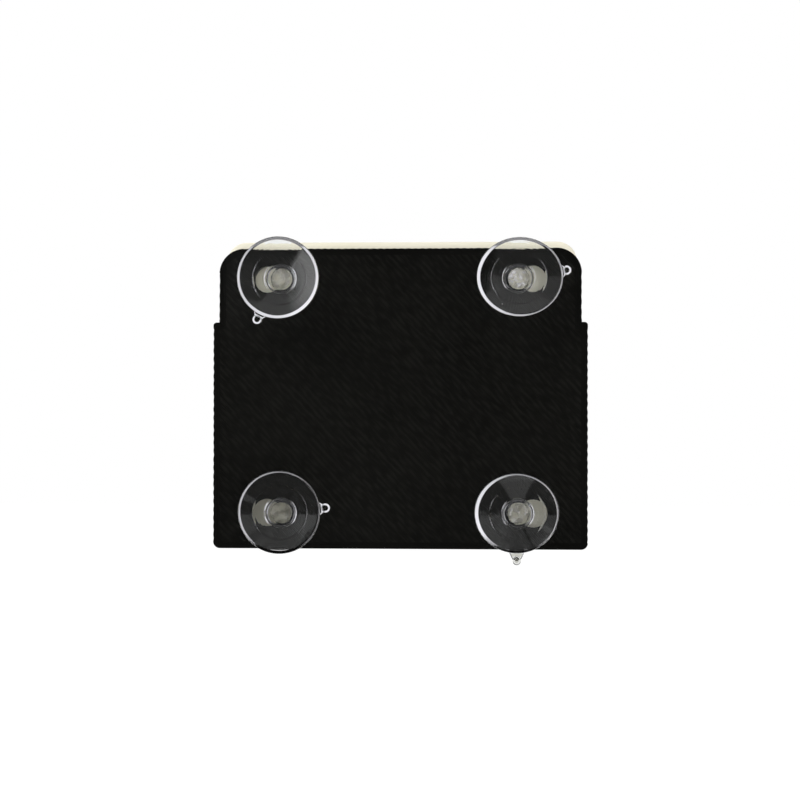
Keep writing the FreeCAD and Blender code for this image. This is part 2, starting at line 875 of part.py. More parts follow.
def controller_chip():
    """The controller, a chip on two rows of bent legs."""
    body = on_board("controller_chip", size("controller_right"), -size("controller_down"))
    half_width = size("controller_width") / 2
    half_height = size("controller_height") / 2
    outline = front_sketch(body, "outline", size("controller_standoff"))
    draw_rectangle(outline, half_width, half_height)
    pad(body, "package", outline, size("controller_thickness"))
    thick = size("leg_thickness")
    rise = size("leg_rise")
    knee = half_width + size("leg_reach") / 2
    tip = half_width + size("leg_reach")
    leg_z = size("leg_pitch") * (size("leg_count") - 1) / 2
    section = new_sketch(body, "leg_section", "XY_Plane")
    section.setExpression("AttachmentOffset.Base.z", (leg_z - size("leg_width") / 2).text)
    draw_outline(section, [
        (half_width - thick, rise), (half_width - thick, rise + thick),
        (knee, rise + thick), (knee, thick), (tip, thick),
        (tip, None), (knee - thick, None), (knee - thick, rise),
    ])
    leg = body.newObject("PartDesign::Pad", "leg")
    leg.Profile = section
    leg.setExpression("Length", size("leg_width").text)
    doc.recompute()
    legs = body.newObject("PartDesign::MultiTransform", "legs")
    legs.Originals = [leg]
    row = doc.addObject("PartDesign::LinearPattern", "leg_row")
    row.Direction = (section, ["N_Axis"])
    row.Reversed = True
    row.setExpression("Length", (size("leg_pitch") * (size("leg_count") - 1)).text)
    row.setExpression("Occurrences", size("leg_count").text)
    other_side = doc.addObject("PartDesign::Mirrored", "other_side")
    other_side.MirrorPlane = (origin_plane(body, "YZ_Plane"), [""])
    for part in (row, other_side):
        body.addObject(part)
    legs.Transformations = [row, other_side]
    body.Tip = legs
    doc.recompute()


def crystal_can():
    """The crystal's can, long and round-ended, on its flange."""
    half_length = size("crystal_length") / 2
    radius = size("crystal_width") / 2
    run = half_length - radius
    reach = half_length + size("crystal_flange") + size("crystal_side_gap")
    body = on_board("crystal_can", board_half_width - reach, -size("crystal_down"))
    ends = [(-run, None), (run, None)]
    flange = front_sketch(body, "flange_outline")
    draw_rounded(flange, ends, radius + size("crystal_flange"))
    pad(body, "flange", flange, size("crystal_flange_height"))
    can = front_sketch(body, "can_outline", size("crystal_flange_height"))
    draw_rounded(can, ends, radius)
    pad(body, "can", can, size("crystal_height") - size("crystal_flange_height"))


def storage_capacitor():
    """The capacitor: a round can on a square base with two cut corners."""
    half = size("capacitor_base") / 2
    inset = half + size("capacitor_gap")
    body = on_board("storage_capacitor", inset - board_half_width, board_half_height - inset)
    short = half - size("capacitor_base_height")
    base = front_sketch(body, "base_outline")
    draw_outline(base, [
        (-half, -half), (half, -half), (half, short), (short, half), (-short, half), (-half, short),
    ])
    pad(body, "base", base, size("capacitor_base_height"))
    radius = size("capacitor_radius")
    top = size("capacitor_height")
    bevel = size("capacitor_bevel")
    start = size("capacitor_base_height")
    section = new_sketch(body, "section", "XY_Plane")
    draw_outline(section, [
        (None, start),
        (radius, start),
        (radius, top - bevel),
        (radius - bevel, top),
        (None, top),
    ])
    revolve(body, "can", section)


def board_components():
    """The small surface-mounted components, one box each."""
    margin = size("component_margin")
    pitch = size("component_pitch")
    places = []
    for column, row in TOP_PLACES:
        places.append((column * pitch, board_half_height - margin - row * pitch))
    for column, row in CORNER_PLACES:
        x = board_half_width - margin - column * pitch
        places.append((x, margin + row * pitch - board_half_height))
    boxes = []
    for number, (x, z) in enumerate(places, start=1):
        left = x - size("component_length") / 2
        low = tag_middle + z - size("component_width") / 2
        bindings = {
            "Length": size("component_length"),
            "Width": size("component_height"),
            "Height": size("component_width"),
            "Placement.Base.x": left,
            "Placement.Base.y": board_front,
            "Placement.Base.z": low,
        }
        box = doc.addObject("Part::Box", f"component_{number}")
        for name, given in bindings.items():
            box.setExpression(name, given.text)
        boxes.append(box)
    group = doc.addObject("Part::Compound", "board_components")
    group.Label = "board_components"
    group.Links = boxes
    doc.recompute()
    subparts.append(group)


def check_document():
    """Stops if any object failed or any sub-part has no valid solid."""
    for item in doc.Objects:
        if "Invalid" in item.State or "Error" in item.State:
            raise ValueError(f"{item.Label} failed: {item.State}")
    for item in subparts:
        shape = item.Shape
        if shape.isNull() or not shape.isValid() or not shape.Solids:
            raise ValueError(f"{item.Label} has no valid solid")


def write_parts():
    """Writes one STEP file for each sub-part."""
    os.makedirs("parts", exist_ok=True)
    for item in subparts:
        item.Shape.exportStep(f"parts/{item.Label}.step")
        print(f"{item.Label}: {len(item.Shape.Solids)} solids, {item.Shape.Volume:.1f} mm3")


holder()
for row_name, row_sign in (("top", 1), ("bottom", -1)):
    for side_name, side_sign in (("left", -1), ("right", 1)):
        suction_cup(f"suction_cup_{row_name}_{side_name}", side_sign, row_sign)
tag_back_case()
tag_front_case()
circuit_board()
antenna_spacer()
antenna_plate()
antenna_feed()
lithium_cell()
cell_straps()
cell_pad()
shield_can()
radio_chip()
controller_chip()
crystal_can()
storage_capacitor()
board_components()
doc.recompute()
check_document()
write_parts()
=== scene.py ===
"""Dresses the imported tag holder: a black printed pocket, four clear suction cups and a cream tag."""

import enum
import logging
import math
from dataclasses import dataclass, field, replace
from typing import Any, Optional, Sequence, Union

import bmesh
import bpy
import numpy as np
from mathutils import Matrix, Vector, noise
from mathutils.geometry import delaunay_2d_cdt


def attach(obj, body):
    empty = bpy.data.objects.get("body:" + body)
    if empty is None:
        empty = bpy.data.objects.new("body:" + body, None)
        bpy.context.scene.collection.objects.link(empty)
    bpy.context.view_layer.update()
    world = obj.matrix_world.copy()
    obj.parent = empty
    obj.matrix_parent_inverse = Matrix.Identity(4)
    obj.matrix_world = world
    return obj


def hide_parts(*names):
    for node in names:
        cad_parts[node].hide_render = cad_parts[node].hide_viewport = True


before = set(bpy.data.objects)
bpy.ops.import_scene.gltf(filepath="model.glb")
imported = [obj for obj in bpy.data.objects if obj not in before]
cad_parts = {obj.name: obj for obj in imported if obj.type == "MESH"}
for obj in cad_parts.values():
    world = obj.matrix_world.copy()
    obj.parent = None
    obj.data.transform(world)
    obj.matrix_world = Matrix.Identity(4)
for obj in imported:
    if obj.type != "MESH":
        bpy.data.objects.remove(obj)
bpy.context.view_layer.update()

MM = 0.001
log = logging.getLogger("tag_holder")

Point = tuple[float, float]
Place = tuple[float, float, float]
Colour = tuple[float, float, float]
Value = Union["Socket", float, int, Sequence[float]]


# The plate, which the holder, its finish and the cups all follow


@dataclass(frozen=True)
class Plate:
    """The back plate's outline and keyholes."""

    half_width: float = 47.0 * MM
    upper_half_width: float = 45.5 * MM
    bottom: float = -38.3 * MM
    shoulder: float = 18.5 * MM
    top: float = 37.05 * MM
    corner: float = 6.35 * MM
    foot_corner: float = 1.7 * MM
    keyhole: Point = (29.65 * MM, 29.3 * MM)
    key_travel: float = 3.6 * MM
    slot: float = 2.8 * MM
    entry: float = 3.55 * MM


PLATE = Plate()


# Shader graphs


@dataclass(frozen=True)
class Socket:
    """A node's output that takes part in Python arithmetic."""

    graph: "Graph"
    link: bpy.types.NodeSocket

    def math(self, operation: str, *others: Value) -> "Socket":
        """Adds a Math node with this value first."""
        return self.graph.math(operation, self, *others)

    def __add__(self, other: Value) -> "Socket":
        """Adds."""
        return self.math("ADD", other)

    def __sub__(self, other: Value) -> "Socket":
        """Subtracts."""
        return self.math("SUBTRACT", other)

    def __rsub__(self, other: Value) -> "Socket":
        """Subtracts from a number."""
        return self.graph.math("SUBTRACT", other, self)

    def __mul__(self, other: Value) -> "Socket":
        """Multiplies."""
        return self.math("MULTIPLY", other)

    def __truediv__(self, other: Value) -> "Socket":
        """Divides."""
        return self.math("DIVIDE", other)

    def __pow__(self, other: Value) -> "Socket":
        """Raises to a power."""
        return self.math("POWER", other)

    def __abs__(self) -> "Socket":
        """Drops the sign."""
        return self.math("ABSOLUTE")

    __radd__ = __add__
    __rmul__ = __mul__

    def above(self, other: Value) -> "Socket":
        """The larger of two values."""
        return self.math("MAXIMUM", other)

    def below(self, other: Value) -> "Socket":
        """The smaller of two values."""
        return self.math("MINIMUM", other)

    def step(self, low: float, high: float) -> "Socket":
        """Rises smoothly from 0 to 1 between two values, or falls if they are the other way round.

        Args:
            low: where the result is 0.
            high: where the result is 1.

        Returns:
            The smooth step.
        """
        first, last = (low, high) if low < high else (high, low)
        rise = self.graph.add(
            "ShaderNodeMapRange", {"interpolation_type": "SMOOTHSTEP"},
            {"Value": self, "From Min": first, "From Max": last}, "Result",
        )
        return rise if low < high else 1.0 - rise

    def beads(self, pitch: float) -> "Socket":
        """Rows of half-round beads of a width in metres, 0 in the grooves and 1 on the crests."""
        return abs((self * (math.pi / pitch)).math("SINE"))


class Graph:
    """A node tree, with one method for each way to add to it."""

    def __init__(self, tree: bpy.types.NodeTree) -> None:
        """Starts from an empty tree."""
        self.tree = tree
        tree.nodes.clear()

    def connect(self, value: Value, target: bpy.types.NodeSocket) -> None:
        """Links a socket to a target, or sets the target to a plain value.

        Args:
            value: the socket, number, colour or vector.
            target: a node's input.
        """
        if isinstance(value, Socket):
            self.tree.links.new(value.link, target)
        elif isinstance(value, (int, float)):
            target.default_value = value
        else:
            size = len(target.default_value)
            target.default_value = (*value, 1.0)[:size]

    def add(
        self, kind: str, settings: dict[str, Any], inputs: dict[Union[str, int], Value],
        output: Union[str, int, None] = 0,
    ) -> Optional[Socket]:
        """Adds one node.

        Args:
            kind: the node's type.
            settings: its own settings, set first.
            inputs: values or links by socket name or number.
            output: the socket that is handed back, or None for a node that has none.

        Returns:
            The chosen output.
        """
        node = self.tree.nodes.new(kind)
        for name, setting in settings.items():
            setattr(node, name, setting)
        for name, value in inputs.items():
            self.connect(value, node.inputs[name])
        return None if output is None else Socket(self, node.outputs[output])

    def math(self, operation: str, *values: Value) -> Socket:
        """Adds a Math node."""
        return self.add("ShaderNodeMath", {"operation": operation}, dict(enumerate(values)))

    def other(self, socket: Socket, output: Union[str, int]) -> Socket:
        """Another output of a socket's node."""
        return Socket(self, socket.link.node.outputs[output])

    def split(self, vector: Socket) -> tuple[Socket, Socket, Socket]:
        """Splits a vector into its three values."""
        first = self.add("ShaderNodeSeparateXYZ", {}, {0: vector})
        return first, self.other(first, 1), self.other(first, 2)

    def join(self, x: Value, y: Value, z: Value) -> Socket:
        """Joins three values into a vector."""
        return self.add("ShaderNodeCombineXYZ", {}, {0: x, 1: y, 2: z})

    def mix(self, share: Value, first: Value, second: Value) -> Socket:
        """Mixes two colours."""
        return self.add("ShaderNodeMix", {"data_type": "RGBA"}, {0: share, 6: first, 7: second}, 2)

    def place(self) -> Socket:
        """The place on the piece, in the frame's metres."""
        return self.add("ShaderNodeTexCoord", {}, {}, "Object")

    def scaled(self, scale: Sequence[float]) -> Socket:
        """The place on the piece, scaled along each axis."""
        return self.add("ShaderNodeMapping", {}, {"Vector": self.place(), "Scale": scale})

    def noise(self, scale: float, detail: float = 3.0, vector: Optional[Socket] = None) -> Socket:
        """Noise from 0 to 1.

        Args:
            scale: cells a metre.
            detail: octaves.
            vector: the place that it is read at, the piece's own if None.

        Returns:
            The noise.
        """
        inputs = {"Vector": vector or self.place(), "Scale": scale, "Detail": detail}
        return self.add("ShaderNodeTexNoise", {}, inputs)

    def specks(self, scale: float, size: float, share: float) -> Socket:
        """A mask of scattered round specks.

        Args:
            scale: cells a metre, each with one speck at most.
            size: a speck's radius as a share of its cell.
            share: the share of the cells that hold one.

        Returns:
            The mask, 1 on a speck.
        """
        distance = self.add("ShaderNodeTexVoronoi", {}, {"Vector": self.place(), "Scale": scale})
        chance = self.split(self.other(distance, "Color"))[0]
        return distance.step(size, size * 0.5) * chance.math("LESS_THAN", share)

    def bump(self, height: Socket, distance: float, strength: float = 1.0) -> Socket:
        """Turns a height into a normal.

        Args:
            height: the height, about 0 to 1.
            distance: what a height of 1 stands for, in metres.
            strength: how much of it shows.

        Returns:
            The normal.
        """
        inputs = {"Height": height, "Distance": distance, "Strength": strength}
        return self.add("ShaderNodeBump", {}, inputs)


def new_material(name: str) -> tuple[bpy.types.Material, Graph]:
    """Starts a material.

    Args:
        name: its name.

    Returns:
        The material and its empty nodes.
    """
    material = bpy.data.materials.new(name)
    material.use_nodes = True
    return material, Graph(material.node_tree)


# Finishes


@dataclass(frozen=True)
class Finish:
    """A surface finish. Each kind says what varies over the surface."""

    name: str
    colour: Colour
    roughness: float = 0.5
    metallic: float = 0.0
    specular: float = 0.5
    constants: dict[str, float] = field(default_factory=dict)

    def surface(self, graph: Graph) -> dict[str, Value]:
        """What the surface feeds to the shader beside the constants, by socket name."""
        return {}

    def shader(self, graph: Graph) -> Socket:
        """Adds one Principled shader.

        Args:
            graph: the material's nodes.

        Returns:
            The shader's output.
        """
        inputs: dict[Union[str, int], Value] = {
            "Base Color": self.colour,
            "Roughness": self.roughness,
            "Metallic": self.metallic,
            "Specular IOR Level": self.specular,
            **self.constants,
            **self.surface(graph),
        }
        return graph.add("ShaderNodeBsdfPrincipled", {}, inputs)

    def build(self) -> bpy.types.Material:
        """Builds the material.

        Returns:
            The material.
        """
        material, graph = new_material(self.name)
        material.diffuse_color = (*self.colour, 1.0)
        graph.add("ShaderNodeOutputMaterial", {}, {"Surface": self.shader(graph)}, None)
        return material


@dataclass(frozen=True)
class PrintedPlastic(Finish):
    """Black plastic laid down in strands: outlines first, then a fill of slanting lines."""

    plate: Plate = PLATE
    strand: float = 0.42 * MM
    slant: float = math.radians(47.0)
    waver: float = 0.12 * MM
    border: float = 1.7 * MM
    border_blend: float = 0.1 * MM
    narrower_at_keyhole: float = 0.8 * MM
    layer: float = 0.24 * MM
    relief: float = 0.05 * MM
    dust: Colour = (0.18, 0.18, 0.17)

    def box_distance(
        self, x: Socket, z: Socket, half: float, ends: Point, corner: float
    ) -> Socket:
        """How far a point lies outside a box with round corners, negative inside it.

        Args:
            x: the point's place across.
            z: its height.
            half: half the box's width.
            ends: the heights of the box's foot and top.
            corner: the radius of its corners.

        Returns:
            The distance.
        """
        low, high = ends
        across = abs(x) - (half - corner)
        up = abs(z - (low + high) / 2) - ((high - low) / 2 - corner)
        outside = ((across.above(0.0)) ** 2.0 + (up.above(0.0)) ** 2.0).math("SQRT")
        return outside + across.above(up).below(0.0) - corner

    def edge_distance(self, x: Socket, z: Socket) -> Socket:
        """How far a point of the plate lies from its outline or a keyhole.

        Args:
            x: the point's place across.
            z: its height.

        Returns:
            The distance, negative inside the plate.
        """
        plate, (middle, height) = self.plate, self.plate.keyhole
        lower_ends, upper_ends = (plate.bottom, plate.shoulder), (-plate.top, plate.top)
        lower = self.box_distance(x, z, plate.half_width, lower_ends, plate.foot_corner)
        upper = self.box_distance(x, z, plate.upper_half_width, upper_ends, plate.corner)
        along = (abs(x) - middle).above(0.0).below(plate.key_travel)
        rise = (abs(z) - height) ** 2.0
        slot = ((abs(x) - middle - along) ** 2.0 + rise).math("SQRT") - plate.slot
        entry = ((abs(x) - (middle + plate.key_travel)) ** 2.0 + rise).math("SQRT") - plate.entry
        hole = slot.below(entry)
        return lower.below(upper).above((-1.0 * hole) - self.narrower_at_keyhole)

    def surface(self, graph: Graph) -> dict[str, Value]:
        """Strands, layers, a few strands that sit proud, and dust.

        Args:
            graph: the material's nodes.

        Returns:
            What they feed, by socket name.
        """
        x, y, z = graph.split(graph.place())
        waver = (graph.noise(90.0, 2.0) - 0.5) * self.waver
        across = x * math.sin(self.slant) + z * math.cos(self.slant) + waver
        fill = across.beads(self.strand)
        number = (across / self.strand).math("FLOOR")
        chance = graph.add("ShaderNodeTexWhiteNoise", {"noise_dimensions": "1D"}, {"W": number})
        along = z * math.sin(self.slant) - x * math.cos(self.slant)
        dashes = graph.noise(1.0, 1.0, graph.join(across * 1300.0, along * 330.0, 0.0))
        dashes = dashes.step(0.35, 0.65) * across.beads(self.strand * 3.0)
        edge = self.edge_distance(x, z) + waver
        border = edge.step(-self.border - self.border_blend, -self.border + self.border_blend)
        outline = edge.beads(self.strand)
        fill = fill * 0.45 + chance * 0.25 + dashes * 0.9
        face = fill * (1.0 - border) + (outline * 0.5 + 0.35) * border
        side = y.beads(self.layer) * 0.8 + graph.noise(300.0, 2.0) * 0.5
        normal = graph.add("ShaderNodeNewGeometry", {}, {}, "Normal")
        flat = abs(graph.split(normal)[1]).step(0.6, 0.8)
        height = face * flat + side * (1.0 - flat) + graph.noise(2500.0, 2.0) * 0.12
        dust = graph.specks(160.0, 0.14, 0.05) * graph.noise(70.0).step(0.5, 0.62)
        fade = graph.noise(35.0, 2.0)
        tone = fade * 0.4 + dashes * flat * (1.0 - border) * 0.6
        colour = graph.mix(tone, self.colour, [part * 5.0 for part in self.colour])
        rough = self.roughness + (chance - 0.5) * 0.12 * (1.0 - border) + dust * 0.2
        return {
            "Base Color": graph.mix(dust * 0.5, colour, self.dust),
            "Roughness": rough + (fade - 0.5) * 0.12,
            "Normal": graph.bump(height, self.relief),
        }


@dataclass(frozen=True)
class ClearPlastic(Finish):
    """Clear soft plastic from a turned mould, with its rings, hairlines and a little dust.

    A cup that reaches past the foot of the plate is tinted dark there, which is painted shade, and
    along its rim it has a band of painted light on one cup and painted shade on another.
    """

    spacing: Point = PLATE.keyhole
    ring: float = 0.55 * MM
    gate: Point = (3.1 * MM, 2.7 * MM)
    relief: float = 0.12 * MM
    # dark tint past the plate's foot: painted shade
    painted_shade_tint: Colour = (0.3, 0.3, 0.3)
    # grey of the rim band past the foot: painted light where lighter than the tint, painted shade
    # where darker
    painted_band_shade: float = 0.4
    rim_band: Point = (8.9 * MM, 9.75 * MM)
    band_blend: float = 0.06 * MM
    rim_end: float = 10.35 * MM
    foot: float = -37.6 * MM
    foot_blend: float = 0.3 * MM
    lean_depth: float = 5.5 * MM
    stretch: Point = (1.0, 1.0)
    lean: Point = (0.0, 0.0)

    def from_cup(self, graph: Graph) -> tuple[Socket, Socket, Socket]:
        """Where a point lies from the middle of its own cup.

        Args:
            graph: the material's nodes.

        Returns:
            The distance across, the distance up and the radius.
        """
        x, y, z = graph.split(graph.place())
        leaning = (1.0 - y / self.lean_depth).above(0.0)
        across = x - x.math("SIGN") * self.spacing[0] - leaning * self.lean[0]
        up = z - z.math("SIGN") * self.spacing[1] - leaning * self.lean[1]
        across, up = across / self.stretch[0], up / self.stretch[1]
        return across, up, (across ** 2.0 + up ** 2.0).math("SQRT")

    def tint(self, graph: Graph) -> Socket:
        """The colour, and the dark tint of painted shade past the foot of the plate, with its painted
        rim band.

        Args:
            graph: the material's nodes.

        Returns:
            The colour.
        """
        z = graph.split(graph.place())[2]
        radius = self.from_cup(graph)[2]
        (start, end), soft = self.rim_band, self.band_blend
        band = radius.step(start - soft, start + soft) * radius.step(end + soft, end - soft)
        # painted shade past the foot, with the painted rim band along the rim
        painted_shade_tint = graph.mix(band, self.painted_shade_tint, (self.painted_band_shade,) * 3)
        past = z.step(self.foot, self.foot - self.foot_blend)
        past = past * radius.step(self.rim_end, self.rim_end - soft)
        return graph.mix(past, self.colour, painted_shade_tint)

    def surface(self, graph: Graph) -> dict[str, Value]:
        """The mould's rings, flow waves, hairlines, dust and the rough gate in the middle.

        Args:
            graph: the material's nodes.

        Returns:
            What they feed, by socket name.
        """
        hairlines = graph.noise(700.0, 4.0, graph.scaled((1.0, 1.0, 9.0))).step(0.62, 0.7)
        haze = graph.noise(160.0, 3.0).step(0.45, 0.8)
        dust = graph.specks(700.0, 0.12, 0.02)
        wave = graph.noise(170.0, 1.0)
        radius = self.from_cup(graph)[2]
        rings = radius.beads(self.ring) * graph.noise(130.0, 1.0).step(0.35, 0.7)
        gate = graph.noise(1000.0, 2.5) * radius.step(*self.gate)
        height = wave + rings * 0.12 + hairlines * 0.012 + gate * 5.0
        return {
            "Base Color": self.tint(graph),
            "Roughness": self.roughness + hairlines * 0.06 + haze * 0.05 + dust * 0.3,
            "Normal": graph.bump(height, self.relief, 0.35),
        }


@dataclass(frozen=True)
class MilkyPaintedLightEdge(ClearPlastic):
    """The thick edge of a clear moulding, where the light that runs inside it and comes out at the rim
    is painted on as a milky layer: painted light, widest at one side, with painted highlight arcs by
    the boss, painted reflections on the boss floor and a painted glow on the collar.

    The radii are from the cup's middle, and a pair gives where something starts and where it is full.
    """

    # colour of the milky layer of painted light
    milky: Colour = (0.86, 0.855, 0.9)
    milky_shaded: Colour = (0.7, 0.69, 0.75)
    brightest: float = 212.0
    level: float = 0.45
    least: float = 0.24
    swing: float = 0.3
    lip: Point = (9.4 * MM, 10.15 * MM)
    rim: Point = (8.0 * MM, 8.2 * MM)
    last_height: float = 36.6 * MM
    clear_height: float = 37.2 * MM
    foot_reach: float = 4.0 * MM
    tab: Point = (10.15 * MM, 10.35 * MM)
    tab_heights: Point = (40.2 * MM, 38.0 * MM)
    # radii of the painted highlight arcs round the boss, and where they are brightest
    arcs: Point = (3.8 * MM, 3.88 * MM)
    arcs_bright: Point = (5.5 * MM, 5.0 * MM)
    # milky share on the boss floor, painted reflections, and the floor's grey, painted shade
    painted_disc_cloud: float = 0.3
    painted_floor_shade: float = 0.46
    floor_edge: Point = (2.6 * MM, 2.45 * MM)
    floor_ring: float = 1.25 * MM
    collar_inside: Point = (2.5 * MM, 2.8 * MM)
    collar_outside: Point = (3.85 * MM, 3.4 * MM)

    def surface(self, graph: Graph) -> dict[str, Value]:
        """The clear plastic's surface, with the boss floor's tint darkened unevenly as painted shade.

        Args:
            graph: the material's nodes.

        Returns:
            What it feeds, by socket name.
        """
        radius = self.from_cup(graph)[2]
        uneven = graph.noise(480.0, 3.0).step(0.35, 0.65) * 0.7 + 0.3
        # the boss floor's darker tint is painted shade
        painted_disc_cloud = radius.step(*self.floor_edge) * uneven
        tint = {"Base Color": graph.mix(painted_disc_cloud, self.tint(graph), (self.painted_floor_shade,) * 3)}
        return super().surface(graph) | tint

    def rim_share(
        self, graph: Graph, across: Socket, up: Socket, radius: Socket, z: Socket
    ) -> Socket:
        """How much milky painted light the rim has: widest at one side, and faint where it stands
        clear of the plate.

        Args:
            graph: the material's nodes.
            across: the distance across from the cup's middle.
            up: the distance up from the cup's middle.
            radius: the distance from the cup's middle.
            z: the height in the frame.

        Returns:
            The share.
        """
        angle = math.radians(self.brightest)
        toward = (across * math.cos(angle) + up * math.sin(angle)) / radius
        reach = toward * self.swing + self.level + (graph.noise(75.0, 1.0) - 0.5) * 0.8
        reach = reach.above(self.least).below(1.0)
        inner, outer = self.lip
        edge = (radius - inner) / (outer - inner) + reach - 0.78
        share = edge.step(-0.15, 0.15) * (reach * 0.75 + 0.2)
        clear = z.step(self.last_height, self.clear_height) * 0.24
        low = z.step(self.foot, self.foot + self.foot_reach) * 0.7 + 0.3
        share = share * low * abs(z).step(self.clear_height, self.last_height) + clear
        on_tab = radius.step(*self.tab) * (abs(z).step(*self.tab_heights) * 0.75 + 0.1)
        return share.above(on_tab)

    def shader(self, graph: Graph) -> Socket:
        """Adds the clear shader with a milky one over it, which paints the rim's light, the highlight
        arcs, the floor's reflections and the collar's glow.

        Args:
            graph: the material's nodes.

        Returns:
            The mixed shader's output.
        """
        clear = super().shader(graph)
        across, up, radius = self.from_cup(graph)
        z = graph.split(graph.place())[2]
        # the rim's milky share is painted light, widest towards the brightest angle
        rim = self.rim_share(graph, across, up, radius, z) * radius.step(*self.rim)
        # painted highlight arcs round the boss, on its sides
        sideways = (abs(across) / radius).step(0.6, 0.95)
        turned = radius.step(*self.arcs) * radius.step(self.rim[1], self.rim[0])
        bright = radius.step(*self.arcs_bright) * 0.55 + 0.3
        arcs = sideways * turned * bright * graph.noise(260.0, 2.0).step(0.25, 0.6)
        # milky rings and mottling on the boss floor: painted reflections
        rings = radius.beads(self.floor_ring) * 0.6 + 0.4
        mottled = graph.noise(620.0, 3.0).step(0.4, 0.7)
        floor = radius.step(*self.floor_edge) * mottled * rings * self.painted_disc_cloud
        # a faint painted glow round the boss, lighter on its upper side
        collar = radius.step(*self.collar_inside) * radius.step(*self.collar_outside)
        collar = collar * ((up / radius).step(-0.6, 0.8) * 0.04 + 0.012)
        haze = graph.noise(900.0, 2.0)
        milk = graph.add("ShaderNodeBsdfPrincipled", {}, {
            "Base Color": graph.mix(haze * 0.3, self.milky, self.milky_shaded),
            "Roughness": haze * 0.1 + 0.25,
        })
        share = rim + arcs + floor + collar
        return graph.add("ShaderNodeMixShader", {}, {0: share, 1: clear, 2: milk})


@dataclass(frozen=True)
class MouldedPlastic(Finish):
    """Opaque moulded plastic with a fine spark texture, an uneven tint and handling marks."""

    grain: float = 3800.0
    relief: float = 0.012 * MM
    aged: Colour = (0.5, 0.5, 0.5)

    def surface(self, graph: Graph) -> dict[str, Value]:
        """Grain, tint, polished patches and marks.

        Args:
            graph: the material's nodes.

        Returns:
            What they feed, by socket name.
        """
        grain = graph.noise(self.grain, 2.0)
        patch = graph.noise(45.0, 4.0)
        marks = graph.specks(240.0, 0.09, 0.05)
        colour = graph.mix(patch.step(0.35, 0.75), self.colour, self.aged)
        return {
            "Base Color": graph.mix(marks * 0.35, colour, [part * 0.45 for part in self.colour]),
            "Roughness": self.roughness + (patch - 0.5) * 0.16,
            "Normal": graph.bump(grain + patch * 2.0, self.relief),
        }


@dataclass(frozen=True)
class SolderMask(Finish):
    """A coated circuit board, with raised tracks under the coat and the laminate's weave."""

    track: float = 1.27 * MM
    thread: float = 0.3 * MM
    relief: float = 0.03 * MM
    laminate: Colour = (0.02, 0.13, 0.05)
    weave: Colour = (0.1, 0.3, 0.12)

    def surface(self, graph: Graph) -> dict[str, Value]:
        """Tracks that run level in some broad fields and upright in the others, and the weave.

        Args:
            graph: the material's nodes.

        Returns:
            What they feed, by socket name.
        """
        x, y, z = graph.split(graph.place())
        fields = graph.noise(60.0, 0.0).step(0.5, 0.52)
        level = x.beads(self.track).step(0.55, 0.7)
        upright = z.beads(self.track).step(0.55, 0.7)
        tracks = level * fields + upright * (1.0 - fields)
        weave = x.beads(self.thread) * z.beads(self.thread)
        colour = graph.mix(tracks, self.laminate, self.colour)
        return {
            "Base Color": graph.mix(weave * 0.15, colour, self.weave),
            "Roughness": self.roughness + weave * 0.1,
            "Normal": graph.bump(tracks + weave * 0.15, self.relief),
        }


@dataclass(frozen=True)
class Foam(Finish):
    """Cut foam with open cells."""

    cell: float = 0.35 * MM

    def surface(self, graph: Graph) -> dict[str, Value]:
        """Round cells with darker floors.

        Args:
            graph: the material's nodes.

        Returns:
            What they feed, by socket name.
        """
        inputs = {"Vector": graph.place(), "Scale": 1.0 / self.cell}
        pits = graph.add("ShaderNodeTexVoronoi", {}, inputs).step(0.25, 0.6)
        return {
            "Base Color": graph.mix(pits, [part * 0.55 for part in self.colour], self.colour),
            "Roughness": self.roughness + pits * 0.05,
            "Normal": graph.bump(pits, self.cell * 0.4),
        }


class Lay(enum.Enum):
    """Which way the fine lines of a metal surface run."""

    ALONG_X = (0.03, 1.0, 1.0)
    ALONG_Z = (1.0, 1.0, 0.03)
    CRISSCROSS = (1.0, 1.0, 1.0)


@dataclass(frozen=True)
class SheetMetal(Finish):
    """Rolled or drawn metal with fine lines and stains."""

    lay: Lay = Lay.ALONG_X
    lines: float = 6000.0
    relief: float = 0.004 * MM
    stain: Colour = (0.5, 0.45, 0.4)

    def surface(self, graph: Graph) -> dict[str, Value]:
        """Rolling lines, and stains that dull the shine.

        Args:
            graph: the material's nodes.

        Returns:
            What they feed, by socket name.
        """
        lines = graph.noise(self.lines, 2.0, graph.scaled(self.lay.value))
        stain = graph.noise(120.0, 4.0).step(0.5, 0.85)
        return {
            "Base Color": graph.mix(stain * 0.6, self.colour, self.stain),
            "Roughness": self.roughness + lines * 0.15 + stain * 0.15,
            "Normal": graph.bump(lines, self.relief),
        }


@dataclass(frozen=True)
class LeggedChip(Finish):
    """Black moulded epoxy between tinned legs."""

    centre: float = 10.0 * MM
    half_width: float = 3.75 * MM
    blend: float = 0.02 * MM
    relief: float = 0.01 * MM
    tin: Colour = (0.74, 0.74, 0.73)

    def surface(self, graph: Graph) -> dict[str, Value]:
        """Spark texture on the package and tin on what stands out beside it.

        Args:
            graph: the material's nodes.

        Returns:
            What they feed, by socket name.
        """
        x = graph.split(graph.place())[0]
        leg = abs(x - self.centre).step(self.half_width, self.half_width + self.blend)
        grain = graph.noise(5000.0, 3.0)
        return {
            "Base Color": graph.mix(leg, self.colour, self.tin),
            "Metallic": leg,
            "Roughness": self.roughness - leg * 0.3 + grain * 0.1,
            "Normal": graph.bump(grain * (1.0 - leg), self.relief),
        }


